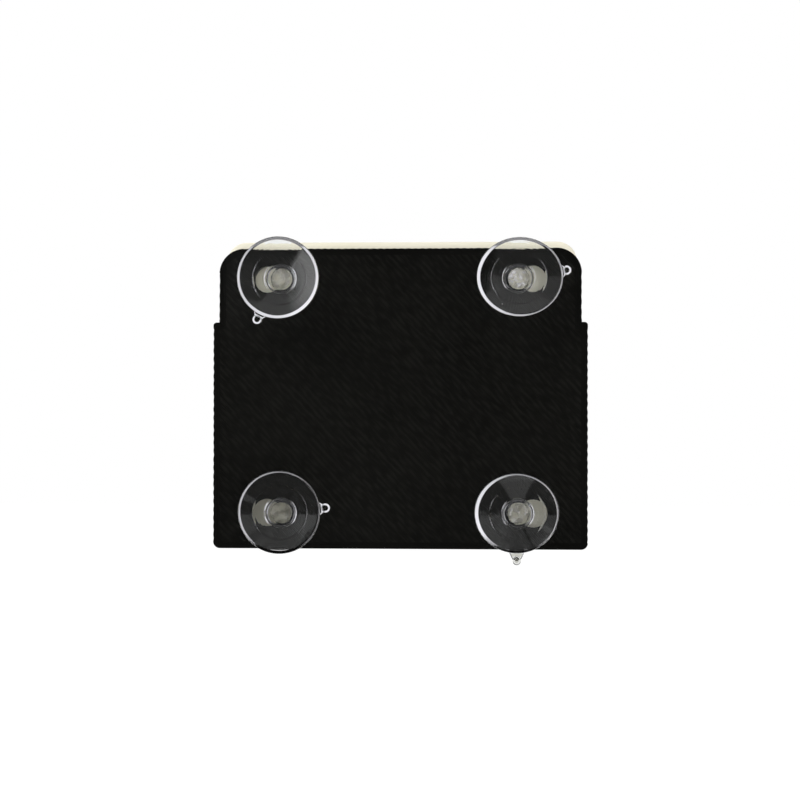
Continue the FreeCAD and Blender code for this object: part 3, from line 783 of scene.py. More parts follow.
@dataclass(frozen=True)
class CapacitorCan(Finish):
    """A drawn aluminium can above a black moulded base."""

    base_top: float = 19.2 * MM
    blend: float = 0.01 * MM
    relief: float = 0.005 * MM
    base: Colour = (0.02, 0.02, 0.02)

    def surface(self, graph: Graph) -> dict[str, Value]:
        """Draw lines down the can, and a matt base below it.

        Args:
            graph: the material's nodes.

        Returns:
            What they feed, by socket name.
        """
        y = graph.split(graph.place())[1]
        can = y.step(self.base_top - self.blend, self.base_top + self.blend)
        lines = graph.noise(5000.0, 2.0, graph.scaled((1, 0.05, 1)))
        return {
            "Base Color": graph.mix(can, self.base, self.colour),
            "Metallic": can,
            "Roughness": self.roughness + lines * 0.12 + (1.0 - can) * 0.3,
            "Normal": graph.bump(lines, self.relief),
        }


@dataclass(frozen=True)
class FiredCeramic(Finish):
    """Small fired bodies, each in its own shade."""

    relief: float = 0.006 * MM
    second: Colour = (0.05, 0.05, 0.055)

    def surface(self, graph: Graph) -> dict[str, Value]:
        """A shade that changes from body to body, and a fine fired grain.

        Args:
            graph: the material's nodes.

        Returns:
            What they feed, by socket name.
        """
        x, y, z = graph.split(graph.place())
        inputs = {"Vector": graph.join(x, 0.0, z), "Scale": 230.0, "Randomness": 0.0}
        cells = graph.add("ShaderNodeTexVoronoi", {}, inputs)
        shade = graph.split(graph.other(cells, "Color"))[0].step(0.3, 0.7)
        grain = graph.noise(9000.0, 2.0)
        return {
            "Base Color": graph.mix(shade, self.colour, self.second),
            "Roughness": self.roughness + grain * 0.15,
            "Normal": graph.bump(grain, self.relief),
        }


PRINTED_BLACK = PrintedPlastic("printed_black", (0.0018, 0.0018, 0.0015), 0.42, specular=0.115)
CLEAR_PVC = ClearPlastic(
    "clear_pvc", (0.94, 0.95, 0.95), 0.03,
    constants={"Transmission Weight": 1.0, "IOR": 1.53},
)
PVC_TAB = ClearPlastic("clear_pvc_tab", (0.62, 0.62, 0.57), 0.1, constants=CLEAR_PVC.constants)
PVC_EDGE = MilkyPaintedLightEdge("clear_pvc_edge", CLEAR_PVC.colour, 0.06, constants=CLEAR_PVC.constants)
TAG_CREAM = MouldedPlastic(
    "tag_cream", (0.76, 0.725, 0.6), 0.46, specular=0.4, aged=(0.73, 0.69, 0.54)
)
BOARD_GREEN = SolderMask("board_green", (0.03, 0.2, 0.075), 0.3)
SPACER_FOAM = Foam("spacer_foam", (0.82, 0.82, 0.79), 0.85)
PAD_FOAM = Foam("pad_foam", (0.035, 0.035, 0.038), 0.9, cell=0.5 * MM)
ANTENNA_BRASS = SheetMetal(
    "antenna_brass", (0.72, 0.52, 0.24), 0.25, 1.0, stain=(0.42, 0.27, 0.13)
)
CELL_METAL = SheetMetal(
    "cell_metal", (0.66, 0.65, 0.62), 0.3, 1.0, lay=Lay.CRISSCROSS, stain=(0.5, 0.48, 0.44)
)
STRAP_NICKEL = SheetMetal("strap_nickel", (0.68, 0.66, 0.61), 0.28, 1.0, lay=Lay.ALONG_Z)
CAN_TIN = SheetMetal("can_tin", (0.74, 0.74, 0.73), 0.24, 1.0, stain=(0.6, 0.58, 0.55))
CHIP_BLACK = MouldedPlastic(
    "chip_black", (0.012, 0.012, 0.013), 0.55, grain=5200.0, aged=(0.02, 0.02, 0.02)
)
LEGGED_CHIP = LeggedChip("legged_chip", (0.012, 0.012, 0.013), 0.55)
CAPACITOR = CapacitorCan("capacitor_metal", (0.8, 0.8, 0.8), 0.22)
COMPONENT = FiredCeramic("component_body", (0.42, 0.3, 0.18), 0.4)


# Outlines and meshes


def clamp(value: float) -> float:
    """Keeps a value between 0 and 1."""
    return min(1.0, max(0.0, value))


def arc(centre: Point, radius: float, first: float, last: float, steps: int) -> list[Point]:
    """Points along an arc.

    Args:
        centre: its centre.
        radius: its radius.
        first: the start, in degrees.
        last: the end, in degrees.
        steps: how many stretches it has.

    Returns:
        The points, both ends among them.
    """
    points = []
    for number in range(steps + 1):
        angle = math.radians(first + (last - first) * number / steps)
        points.append((centre[0] + radius * math.cos(angle), centre[1] + radius * math.sin(angle)))
    return points


def divide(points: Sequence[Point], pitch: float) -> list[Point]:
    """Adds points to the long stretches of an open line.

    Args:
        points: the line's corners.
        pitch: the longest stretch that is left whole.

    Returns:
        The corners and the points between them.
    """
    out: list[Point] = [points[0]]
    for start, end in zip(points, points[1:]):
        count = max(1, math.ceil(math.dist(start, end) / pitch))
        for number in range(1, count + 1):
            share = number / count
            out.append(tuple(a + (b - a) * share for a, b in zip(start, end)))
    return out


def mirrored(points: Sequence[Point]) -> list[Point]:
    """A line's mirror image across the middle, in the opposite order."""
    return [(-x, z) for x, z in reversed(points)]


def inset(points: Sequence[Point], distance: float) -> list[Point]:
    """Moves a closed outline towards its inside, or a hole's outline into the solid.

    Args:
        points: the outline, anticlockwise for an outside and clockwise for a hole.
        distance: how far it moves.

    Returns:
        The moved outline, point for point.
    """
    out = []
    for number, (x, z) in enumerate(points):
        before, after = points[number - 1], points[(number + 1) % len(points)]
        into = Vector((x - before[0], z - before[1])).normalized()
        away = Vector((after[0] - x, after[1] - z)).normalized()
        along = (into + away).normalized()
        reach = distance / max(0.5, along.dot(into))
        out.append((x - along.y * reach, z + along.x * reach))
    return out


def inside(points: np.ndarray, outline: Sequence[Point]) -> np.ndarray:
    """Tells which points lie inside a closed outline.

    Args:
        points: an array of (x, z) rows.
        outline: the outline.

    Returns:
        A true or false for each point.
    """
    start = np.array(outline)
    end = np.roll(start, -1, axis=0)
    x, z = points[:, 0:1], points[:, 1:2]
    crosses = (start[:, 1] > z) != (end[:, 1] > z)
    rise = np.where(end[:, 1] == start[:, 1], 1.0, end[:, 1] - start[:, 1])
    at = start[:, 0] + (z - start[:, 1]) * (end[:, 0] - start[:, 0]) / rise
    return (np.sum(crosses & (x < at), axis=1) % 2).astype(bool)


@dataclass
class Slab:
    """A slice of a stack between two depths, with outlines that may differ at its two faces."""

    low: float
    high: float
    low_loops: list[list[Point]]
    high_loops: list[list[Point]]

    def holds(self, points: np.ndarray, at_high: bool) -> np.ndarray:
        """Tells which points lie in the solid at one of the slab's faces.

        Args:
            points: an array of (x, z) rows.
            at_high: whether the face is the one at the larger depth.

        Returns:
            A true or false for each point.
        """
        found = np.zeros(len(points), bool)
        for loop in self.high_loops if at_high else self.low_loops:
            found ^= inside(points, loop)
        return found


@dataclass
class Stack:
    """Slabs on each other along Y that make one closed skin."""

    slabs: list[Slab]

    def walls(self, mesh: bmesh.types.BMesh) -> None:
        """Adds the slabs' sides.

        Args:
            mesh: the skin in the making.
        """
        for slab in self.slabs:
            for low, high in zip(slab.low_loops, slab.high_loops):
                first = [mesh.verts.new((x, slab.low, z)) for x, z in low]
                second = [mesh.verts.new((x, slab.high, z)) for x, z in high]
                for number in range(len(first)):
                    after = (number + 1) % len(first)
                    mesh.faces.new((first[number], second[number], second[after], first[after]))

    def caps(self, mesh: bmesh.types.BMesh) -> None:
        """Adds the faces where one slab ends and the next doesn't cover it.

        Args:
            mesh: the skin in the making.
        """
        for below, above in zip([None, *self.slabs], [*self.slabs, None]):
            depth = above.low if above else below.high
            loops = (below.high_loops if below else []) + (above.low_loops if above else [])
            points: list[Point] = []
            edges: list[tuple[int, int]] = []
            for loop in loops:
                start = len(points)
                points += loop
                edges += [(start + n, start + (n + 1) % len(loop)) for n in range(len(loop))]
            flat, _, faces, *_ = delaunay_2d_cdt([Vector(p) for p in points], edges, [], 0, 1e-7)
            spots = np.array([[v.x, v.y] for v in flat])
            middles = np.array([spots[list(face)].mean(axis=0) for face in faces])
            under = below.holds(middles, True) if below else np.zeros(len(faces), bool)
            over = above.holds(middles, False) if above else np.zeros(len(faces), bool)
            verts = [mesh.verts.new((x, depth, z)) for x, z in spots]
            for face, solid_under, solid_over in zip(faces, under, over):
                if solid_under != solid_over:
                    order = face if solid_over else reversed(face)
                    mesh.faces.new([verts[number] for number in order])

    def build(self) -> bmesh.types.BMesh:
        """Makes the skin.

        Returns:
            A mesh whose shared points are joined and whose loose ones are gone.
        """
        mesh = bmesh.new()
        self.walls(mesh)
        self.caps(mesh)
        bmesh.ops.remove_doubles(mesh, verts=mesh.verts, dist=0.5e-6)
        loose = [vert for vert in mesh.verts if not vert.link_faces]
        bmesh.ops.delete(mesh, geom=loose, context="VERTS")
        bmesh.ops.recalc_face_normals(mesh, faces=mesh.faces)
        return mesh


def add_object(name: str, data: Any) -> bpy.types.Object:
    """Makes an object of a mesh, a light or a camera and puts it in the scene.

    Args:
        name: its name.
        data: what it shows.

    Returns:
        The object.
    """
    thing = bpy.data.objects.new(name, data)
    bpy.context.scene.collection.objects.link(thing)
    return thing


def finish_mesh(
    mesh: bmesh.types.BMesh, name: str, finishes: Sequence[Finish], sharp: float = 32.0
) -> bpy.types.Object:
    """Turns a mesh in the making into a dressed object.

    Args:
        mesh: the mesh, which is used up.
        name: the object's name.
        finishes: its finishes, in the order of its faces' material numbers.
        sharp: the angle in degrees over which an edge stays crisp.

    Returns:
        The object, linked to the scene.
    """
    for face in mesh.faces:
        face.smooth = True
    for edge in mesh.edges:
        edge.smooth = len(edge.link_faces) == 2 and edge.calc_face_angle() < math.radians(sharp)
    data = bpy.data.meshes.new(name)
    mesh.to_mesh(data)
    mesh.free()
    for finish in finishes:
        data.materials.append(finish.build())
    return add_object(name, data)


# The printed holder


@dataclass(frozen=True)
class StrandEnds:
    """How the ends of the fill's strands stop short of a straight edge, in an uneven wave."""

    pitch: float
    wave: float
    uneven: float
    set_back: float

    def depth(self, along: float, phase: float, grain: float) -> float:
        """How far the edge is pressed in.

        Args:
            along: the place along the edge.
            phase: where the wave starts, in radians.
            grain: noise from -1 to 1.

        Returns:
            The depth in ripples, 0 or negative.
        """
        wave = math.sin(2 * math.pi * along / self.pitch + phase)
        return min(0.0, self.wave * wave + self.uneven * grain - self.set_back)


@dataclass
class PrintedHolder:
    """The pocket with its back plate and lip, printed in one piece."""

    plate: Plate = PLATE
    shoulder_round: float = 0.8 * MM
    pocket_half_width: float = 44.9 * MM
    pocket_floor: float = -37.1 * MM
    window_half_width: float = 39.0 * MM
    window_floor: float = -29.3 * MM
    window_corner: float = 6.0 * MM
    lip_end: float = 3.0 * MM
    depths: tuple[float, ...] = (7.0 * MM, 9.2 * MM, 11.2 * MM, 27.7 * MM, 29.7 * MM)
    edge_break: float = 0.16 * MM
    recess: float = 3.7 * MM
    pitch: float = 0.3 * MM
    ripple: float = 0.075 * MM
    grain: float = 450.0
    straight_below: float = 1.5 * MM
    straight_above: float = 0.8 * MM
    wide_ends: StrandEnds = StrandEnds(2.1 * MM, 0.75, 0.9, 0.9)
    upper_ends: StrandEnds = StrandEnds(2.5 * MM, 0.6, 0.9, 0.8)
    top_ends: StrandEnds = StrandEnds(1.75 * MM, 0.55, 0.8, 0.7)

    def wide_side(self) -> list[Point]:
        """The right half of the wide part's outline.

        Returns:
            Its points from the middle of the foot to the shoulder.
        """
        plate, r, s = self.plate, self.plate.foot_corner, self.shoulder_round
        foot = arc((plate.half_width - r, plate.bottom + r), r, -90.0, 0.0, 8)
        end = arc((plate.half_width - s, plate.shoulder - s), s, 0.0, 90.0, 6)
        return divide([(0.0, plate.bottom), *foot, *end], self.pitch)

    def upper_side(self) -> list[Point]:
        """The right half of the upper part's outline.

        Returns:
            Its points from the shoulder to the middle of the top.
        """
        plate, r = self.plate, self.plate.corner
        corner = arc((plate.upper_half_width - r, plate.top - r), r, 0.0, 90.0, 26)
        start = (plate.upper_half_width, plate.shoulder)
        return divide([start, *corner, (0.0, plate.top)], self.pitch)

    def rippled(self, points: Sequence[Point]) -> list[Point]:
        """Lets the straight edges follow the ends of the fill's strands, as printing does.

        Args:
            points: points of the outline.

        Returns:
            The points, with those on straight edges pressed in or left where they are.
        """
        plate, near = self.plate, 0.01 * MM
        out = []
        for x, z in points:
            side = math.copysign(1.0, x)
            grain = noise.noise(Vector((x * self.grain, z * self.grain, side)))
            on_wide = abs(abs(x) - plate.half_width) < near
            on_upper = abs(abs(x) - plate.upper_half_width) < near
            if on_wide and z < plate.shoulder - self.straight_below:
                x += side * self.ripple * self.wide_ends.depth(z, side, grain)
            elif on_upper and z > plate.shoulder + self.straight_above:
                x += side * self.ripple * self.upper_ends.depth(z, -side, grain)
            elif abs(z - plate.top) < near:
                z += self.ripple * self.top_ends.depth(x, 0.0, grain)
            out.append((x, z))
        return out

    def wide_line(self) -> list[Point]:
        """The wide part's outline from the left shoulder round the foot to the right one."""
        half = self.wide_side()
        return self.rippled(mirrored(half[1:]) + half)

    def plate_loop(self) -> list[Point]:
        """The back plate's outline."""
        upper = self.upper_side()
        return self.wide_line() + self.rippled(upper + mirrored(upper[:-1]))

    def open_loop(self, inner: list[Point]) -> list[Point]:
        """A U's outline, the wide part's outside and a line of its own inside.

        Args:
            inner: the right half of the line inside, from its end to the middle.

        Returns:
            The closed outline.
        """
        mouth, shoulder = self.plate.upper_half_width, self.plate.shoulder
        line = [(mouth, shoulder), *inner, *mirrored(inner[:-1]), (-mouth, shoulder)]
        return self.wide_line() + line

    def wall_loop(self) -> list[Point]:
        """The outline of the pocket's walls.

        Returns:
            Its points.
        """
        width, floor = self.pocket_half_width, self.pocket_floor
        start = (width, self.plate.shoulder - (self.plate.upper_half_width - width))
        return self.open_loop(divide([start, (width, floor), (0.0, floor)], 2.0 * MM))

    def lip_loop(self) -> list[Point]:
        """The outline of the lip, whose window has round corners.

        Returns:
            Its points.
        """
        width, floor = self.window_half_width, self.window_floor
        r, e = self.window_corner, self.lip_end
        end = arc((width + e, self.plate.shoulder - e), e, 90.0, 180.0, 12)
        corner = arc((width - r, floor + r), r, 0.0, -90.0, 20)
        return self.open_loop(divide([*end, *corner, (0.0, floor)], 1.0 * MM))

    def keyhole_loop(self, side: int, row: int, slot: float) -> list[Point]:
        """One keyhole's outline, clockwise.

        Args:
            side: -1 on the left and 1 on the right.
            row: -1 below and 1 above.
            slot: the radius of its narrow part.

        Returns:
            The outline.
        """
        (x, z), entry = self.plate.keyhole, self.plate.entry
        centre = x + self.plate.key_travel
        if slot < entry:
            meet = math.degrees(math.asin(slot / entry))
            round_end = arc((centre, z), entry, -180.0 + meet, 180.0 - meet, 40)
        else:
            round_end = arc((centre, z), slot, -90.0, 90.0, 28)
        points = round_end + arc((x, z), slot, 90.0, 270.0, 28)
        points = [(side * x, row * z) for x, z in points]
        return list(reversed(points)) if side * row > 0 else points

    def keyholes(self, slot: float) -> list[list[Point]]:
        """The four keyholes' outlines at one depth."""
        return [self.keyhole_loop(side, row, slot) for side in (-1, 1) for row in (-1, 1)]

    def build(self) -> bpy.types.Object:
        """Builds the holder and puts it in the frame.

        Returns:
            The dressed piece, which stands for the solid.
        """
        front, web, plate_back, lip, end = self.depths
        c = self.edge_break
        plate = self.plate_loop()
        before_web = [plate, *self.keyholes(self.plate.slot)]
        behind_web = [plate, *self.keyholes(self.recess)]
        wall, rim = self.wall_loop(), self.lip_loop()
        slabs = [
            Slab(front, front + c, [inset(loop, c) for loop in before_web], before_web),
            Slab(front + c, web, before_web, before_web),
            Slab(web, plate_back, behind_web, behind_web),
            Slab(plate_back, lip, [wall], [wall]),
            Slab(lip, end - c, [rim], [rim]),
            Slab(end - c, end, [rim], [inset(rim, c)]),
        ]
        piece = finish_mesh(Stack(slabs).build(), "holder_body", (PRINTED_BLACK,))
        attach(piece, "holder")
        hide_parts("holder")
        return piece


# The suction cups


class Skin(enum.IntEnum):
    """Which of a cup's finishes a face has."""

    CLEAR = 0
    EDGE = 1
    TAB = 2


@dataclass
class SuctionCup:
    """A clear mushroom-head cup with a beaded pull tab."""

    side: int
    row: int
    turn: float
    edge: MilkyPaintedLightEdge = PVC_EDGE
    stretch: Point = (1.0, 1.0)
    lean: Point = (0.0, 0.0)
    spacing: Point = PLATE.keyhole
    radius: float = 10.25 * MM
    lip_outer: float = 10.15 * MM
    lip_inner: float = 9.4 * MM
    rim_light_start: float = 9.3 * MM
    lip_edge: float = 0.3 * MM
    bevel: float = 66.0
    wall: float = 1.45 * MM
    taper: float = 0.0
    hollow: Point = (2.9 * MM, 4.6 * MM)
    mark: Point = (0.6 * MM, 0.08 * MM)
    mark_slope: float = 0.15 * MM
    ring_mark: Point = (3.9 * MM, 4.12 * MM)
    ridge: float = 6.95 * MM
    ridge_half: float = 0.15 * MM
    ridge_step: float = 0.1 * MM
    boss: float = 3.95 * MM
    boss_root: float = 5.5 * MM
    shoulder: float = 7.0 * MM
    neck: Point = (2.65 * MM, 9.4 * MM)
    head: Point = (3.4 * MM, 10.3 * MM)
    head_top: Point = (2.8 * MM, 10.9 * MM)
    segments: int = 192
    round_steps: int = 5
    tab_depth: Point = (0.15 * MM, 1.05 * MM)
    tab_root: Point = (9.95 * MM, 1.75 * MM)
    tab_waist: Point = (10.6 * MM, 1.2 * MM)
    tab_end: Point = (11.6 * MM, 0.95 * MM)
    tab_bevel: float = 0.2 * MM
    tab_pitch: float = 0.2 * MM
    bead: float = 1.2 * MM
    bead_top: float = 1.45 * MM
    bead_segments: int = 48
    dimple: Point = (0.6 * MM, 0.65 * MM)
    dimple_slope: float = 0.08 * MM

    @property
    def name(self) -> str:
        """The name of the cup's solid and body."""
        row = "top" if self.row > 0 else "bottom"
        return f"suction_cup_{row}_{'left' if self.side < 0 else 'right'}"

    def corners(self) -> list[Place]:
        """The cup's section, from the middle of the hollow round the rim to the head's top.

        Returns:
            Radius, depth and fillet of each corner.
        """
        floor, depth = self.hollow
        slope = math.atan2(depth, self.lip_inner - floor) + math.radians(self.taper)
        steep = math.tan(math.radians(self.bevel))

        def back(radius: float) -> float:
            """The depth of the cone's back at a radius."""
            return depth + self.wall - (radius - floor) * math.tan(slope)

        def front(radius: float) -> Place:
            """A plain corner on the hollow's cone."""
            return radius, depth * (1.0 - (radius - floor) / (self.lip_inner - floor)), 0.0

        meet = (self.lip_edge + self.radius * steep - back(0.0)) / (steep - math.tan(slope))
        outside, within = self.ridge + self.ridge_half, self.ridge - self.ridge_half
        return [
            (0.0, depth - self.mark[1], 0.0),
            (self.mark[0] - self.mark_slope, depth - self.mark[1], 0.05 * MM),
            (self.mark[0], depth, 0.05 * MM),
            (floor, depth, 0.4 * MM),
            front(self.ring_mark[0]),
            front(self.ring_mark[1]),
            front(self.rim_light_start),
            (self.lip_inner, 0.0, 0.12 * MM),
            (self.lip_outer, 0.0, 0.05 * MM),
            (self.radius, self.lip_edge, 0.08 * MM),
            (meet, back(meet), 0.15 * MM),
            (outside, back(outside), 0.2 * MM),
            (within, back(within) + self.ridge_step, 0.2 * MM),
            (self.boss, self.boss_root, 0.3 * MM),
            (self.boss, self.shoulder, 0.12 * MM),
            (self.neck[0], self.shoulder, 0.08 * MM),
            (*self.neck, 0.1 * MM),
            (self.head[0], self.neck[1], 0.1 * MM),
            (*self.head, 0.2 * MM),
            (*self.head_top, 0.25 * MM),
            (0.0, self.head_top[1], 0.0),
        ]

    def bead_corners(self) -> list[Place]:
        """The section of the tab's bead with its dimple.

        Returns:
            Radius, depth and fillet of each corner.
        """
        low = self.tab_depth[0]
        return [
            (0.0, self.dimple[1], 0.0),
            (self.dimple[0] - self.dimple_slope, self.dimple[1], 0.06 * MM),
            (self.dimple[0], low, 0.12 * MM),
            (self.bead, low, 0.4 * MM),
            (self.bead, self.bead_top, 0.9 * MM),
            (0.0, self.bead_top, 0.0),
        ]

    def rounded(self, corners: Sequence[Place]) -> list[Point]:
        """Rounds a section's corners and holds each round's ends with a near point.

        Args:
            corners: radius, depth and fillet of each corner.

        Returns:
            The section's points.
        """
        most, hold = 0.4, 1.15
        points: list[Point] = []
        for number, (*corner, fillet) in enumerate(corners):
            here = Vector(corner)
            if not fillet:
                points.append(tuple(here))
                continue
            before = Vector(corners[number - 1][:2]) - here
            after = Vector(corners[number + 1][:2]) - here
            reach = min(fillet, before.length * most, after.length * most)
            start, end = here + before.normalized() * reach, here + after.normalized() * reach
            points.append(tuple(here + before.normalized() * reach * hold))
            for step in range(self.round_steps + 1):
                share = step / self.round_steps
                points.append(tuple(start.lerp(here, share).lerp(here.lerp(end, share), share)))
            points.append(tuple(here + after.normalized() * reach * hold))
        return points

    def lathe(
        self, section: Sequence[Point], segments: int, centre: float = 0.0
    ) -> bmesh.types.BMesh:
        """Turns a section round a line along Y.

        Args:
            section: the section's points, from the line back to it.
            segments: how many steps the turn has.
            centre: where the line crosses X.

        Returns:
            The closed mesh.
        """
        mesh = bmesh.new()
        rings = []
        for r, y in section:
            angles = [2 * math.pi * number / segments for number in range(segments if r else 1)]
            rings.append([
                mesh.verts.new((centre + r * math.cos(angle), y, r * math.sin(angle)))
                for angle in angles
            ])
        for first, second in zip(rings, rings[1:]):
            for number in range(segments):
                after = number + 1
                corners = [first[number % len(first)], second[number % len(second)],
                           second[after % len(second)], first[after % len(first)]]
                mesh.faces.new(list(dict.fromkeys(corners)))
        bmesh.ops.recalc_face_normals(mesh, faces=mesh.faces)
        return mesh

    def web(self) -> bmesh.types.BMesh:
        """Builds the tapered web that joins the bead to the rim, along +X.

        Returns:
            The closed mesh.
        """
        low, high = self.tab_depth
        side = divide([self.tab_root, self.tab_waist, self.tab_end], self.tab_pitch)
        outline = [(x, -z) for x, z in side] + list(reversed(side))
        c = self.tab_bevel
        return Stack([
            Slab(low, low + c, [inset(outline, c)], [outline]),
            Slab(low + c, high - c, [outline], [outline]),
            Slab(high - c, high, [outline], [inset(outline, c)]),
        ]).build()

    def mark_edges(self, mesh: bmesh.types.BMesh) -> None:
        """Sorts the faces into clear skin, thick edges that carry the painted light, and the pull tab.

        The edges are the lip, the hollow's floor and ring mark, the ridge on the cone's back, the
        boss's side, the ring round the bead's dimple and the web's bevels.

        Args:
            mesh: the cup before it is turned, with its tab along +X.
        """
        hair, thin = 0.06 * MM, 0.1 * MM
        ridge_width, boss_width = 0.16 * MM, 0.14 * MM
        for face in mesh.faces:
            spot, facing = face.calc_center_median(), face.normal.y
            radius = math.hypot(spot.x, spot.z)
            from_bead = math.hypot(spot.x - self.tab_end[0], spot.z)
            front, bevelled = facing < -0.3, facing > -0.95
            lip = self.rim_light_start < radius < self.lip_outer - hair
            bead = self.dimple[0] + hair < from_bead < self.bead - thin
            side = radius > self.radius and self.bead < from_bead and bevelled
            floor = radius < self.ring_mark[0]
            mark = self.ring_mark[0] < radius < self.ring_mark[1]
            ridge = 0.0 < radius - self.ridge < ridge_width
            boss = 0.0 < self.boss - radius < boss_width
            if (lip or floor or mark or bead or side) if front else (ridge or boss):
                face.material_index = Skin.EDGE
            else:
                face.material_index = Skin.TAB if radius > self.radius + thin else Skin.CLEAR

    def union(self, *meshes: bmesh.types.BMesh) -> bmesh.types.BMesh:
        """Fuses closed meshes into one.

        Args:
            meshes: the meshes, which are used up.

        Returns:
            The fused mesh.
        """
        things = []
        for mesh in meshes:
            data = bpy.data.meshes.new("making")
            mesh.to_mesh(data)
            mesh.free()
            things.append(add_object("making", data))
        first, *rest = things
        for thing in rest:
            fuse = first.modifiers.new("fuse", "BOOLEAN")
            fuse.operation = "UNION"
            fuse.solver = "EXACT"
            fuse.object = thing
        fused = bmesh.new()
        fused.from_object(first, bpy.context.evaluated_depsgraph_get())
        for thing in things:
            bpy.data.objects.remove(thing)
        return fused

    def shape(self, mesh: bmesh.types.BMesh) -> None:
        """Turns the cup, pulls its soft rim oval and to one side, and sets it in its keyhole.

        Args:
            mesh: the cup with its axis on Y and its tab along +X.
        """
        turned = Matrix.Rotation(-math.radians(self.turn), 3, "Y")
        centre = Vector((self.side * self.spacing[0], 0.0, self.row * self.spacing[1]))
        end = self.tab_end[0]
        for vert in mesh.verts:
            place = turned @ vert.co
            radius = math.hypot(place.x, place.z)
            share = clamp((radius - self.boss) / (self.radius - self.boss))
            share *= clamp((end - radius) / (end - self.radius))
            place.x *= 1.0 + (self.stretch[0] - 1.0) * share
            place.z *= 1.0 + (self.stretch[1] - 1.0) * share
            leaning = max(0.0, 1.0 - place.y / self.boss_root)
            vert.co = place + centre + Vector((self.lean[0], 0.0, self.lean[1])) * leaning

    def build(self) -> bpy.types.Object:
        """Builds the cup and puts it in the frame.

        Returns:
            The dressed piece, which stands for the solid.
        """
        body = self.lathe(self.rounded(self.corners()), self.segments)
        bead = self.lathe(self.rounded(self.bead_corners()), self.bead_segments, self.tab_end[0])
        mesh = self.union(body, self.web(), bead)
        self.mark_edges(mesh)
        self.shape(mesh)
        skins = {Skin.CLEAR: CLEAR_PVC, Skin.EDGE: self.edge, Skin.TAB: PVC_TAB}
        # the painted rim band's grey goes to all three finishes
        shade = self.edge.painted_band_shade
        finishes = [
            replace(skins[skin], stretch=self.stretch, lean=self.lean, painted_band_shade=shade)
            for skin in Skin
        ]
        piece = finish_mesh(mesh, f"{self.name}_body", finishes, 40.0)
        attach(piece, self.name)
        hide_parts(self.name)
        return piece


def suction_cups() -> list[SuctionCup]:
    """The four cups, each with the turn, the rim and the side of painted rim light that the photograph
    shows.

    Returns:
        The upper two from the left, then the lower two.
    """
    # each edge sets its cup's painted rim light, painted floor shade and painted rim band
    top_left_edge = replace(
        PVC_EDGE, brightest=285.0, level=0.66, swing=0.24, painted_disc_cloud=0.18, painted_floor_shade=0.28
    )
    top_right_edge = replace(PVC_EDGE, brightest=195.0, swing=0.45, painted_disc_cloud=0.6)
    bottom_left_edge = replace(
        PVC_EDGE, brightest=195.0, level=0.2, least=0.08, painted_disc_cloud=0.09, painted_band_shade=0.7,
        painted_floor_shade=0.26,
    )
    bottom_right_edge = replace(
        PVC_EDGE, brightest=205.0, swing=0.45, painted_band_shade=0.1, painted_floor_shade=0.28
    )
    return [
        SuctionCup(-1, 1, 243.5, top_left_edge, lean=(-0.25 * MM, 0.0)),
        SuctionCup(1, 1, 8.0, top_right_edge, stretch=(1.045, 0.96), lean=(0.4 * MM, 0.0)),
        SuctionCup(
            -1, -1, 5.5, bottom_left_edge, lean=(0.14 * MM, 0.4 * MM),
            lip_inner=9.6 * MM, wall=1.7 * MM, taper=5.0,
        ),
        SuctionCup(
            1, -1, 270.0, bottom_right_edge, stretch=(1.015, 0.955), lean=(-0.38 * MM, 0.38 * MM),
            lip_inner=9.75 * MM, wall=1.7 * MM, taper=5.5,
            tab_root=(9.95 * MM, 1.95 * MM), tab_waist=(11.0 * MM, 1.35 * MM),
            tab_end=(11.75 * MM, 0.8 * MM), bead=1.0 * MM, dimple=(0.4 * MM, 0.6 * MM),
        ),
    ]


# The tag


@dataclass
class Tag:
    """The tag's case and what is sealed in it, all carried over from the solids."""

    finishes: dict[str, Finish] = field(default_factory=lambda: {
        "tag_back_case": TAG_CREAM, "tag_front_case": TAG_CREAM,
        "circuit_board": BOARD_GREEN, "antenna_spacer": SPACER_FOAM,
        "antenna_plate": ANTENNA_BRASS, "antenna_feed": ANTENNA_BRASS,
        "lithium_cell": CELL_METAL, "cell_strap_lid": STRAP_NICKEL,
        "cell_strap_can": STRAP_NICKEL, "cell_pad": PAD_FOAM, "shield_can": CAN_TIN,
        "radio_chip": CHIP_BLACK, "controller_chip": LEGGED_CHIP, "crystal_can": CAN_TIN,
        "storage_capacitor": CAPACITOR, "board_components": COMPONENT,
    })

    def dress(self) -> list[bpy.types.Object]:
        """Gives each solid its finish.

        Returns:
            The dressed solids.
        """
        built = {finish.name: finish.build() for finish in self.finishes.values()}
        things = []
        for node, finish in self.finishes.items():
            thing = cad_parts[node]
            thing.data.materials.clear()
            thing.data.materials.append(built[finish.name])
            things.append(thing)
        return things


# The studio


@dataclass(frozen=True)
class Lamp:
    """A soft box that lights the object but isn't mirrored in it."""

    name: str
    place: Place
    size: float
    power: float
    aim: Place = (0.0, 0.01, 0.0)

    def build(self) -> bpy.types.Object:
        """Sets the lamp up.

        Returns:
            The lamp's object.
        """
        data = bpy.data.lights.new(self.name, "AREA")
        data.shape = "SQUARE"
        data.size = self.size
        data.energy = self.power
        lamp = add_object(self.name, data)
        lamp.location = self.place
        toward = Vector(self.aim) - Vector(self.place)
        lamp.rotation_euler = toward.to_track_quat("-Z", "Y").to_euler()
        lamp.visible_glossy = False
        lamp.visible_transmission = False
        return lamp


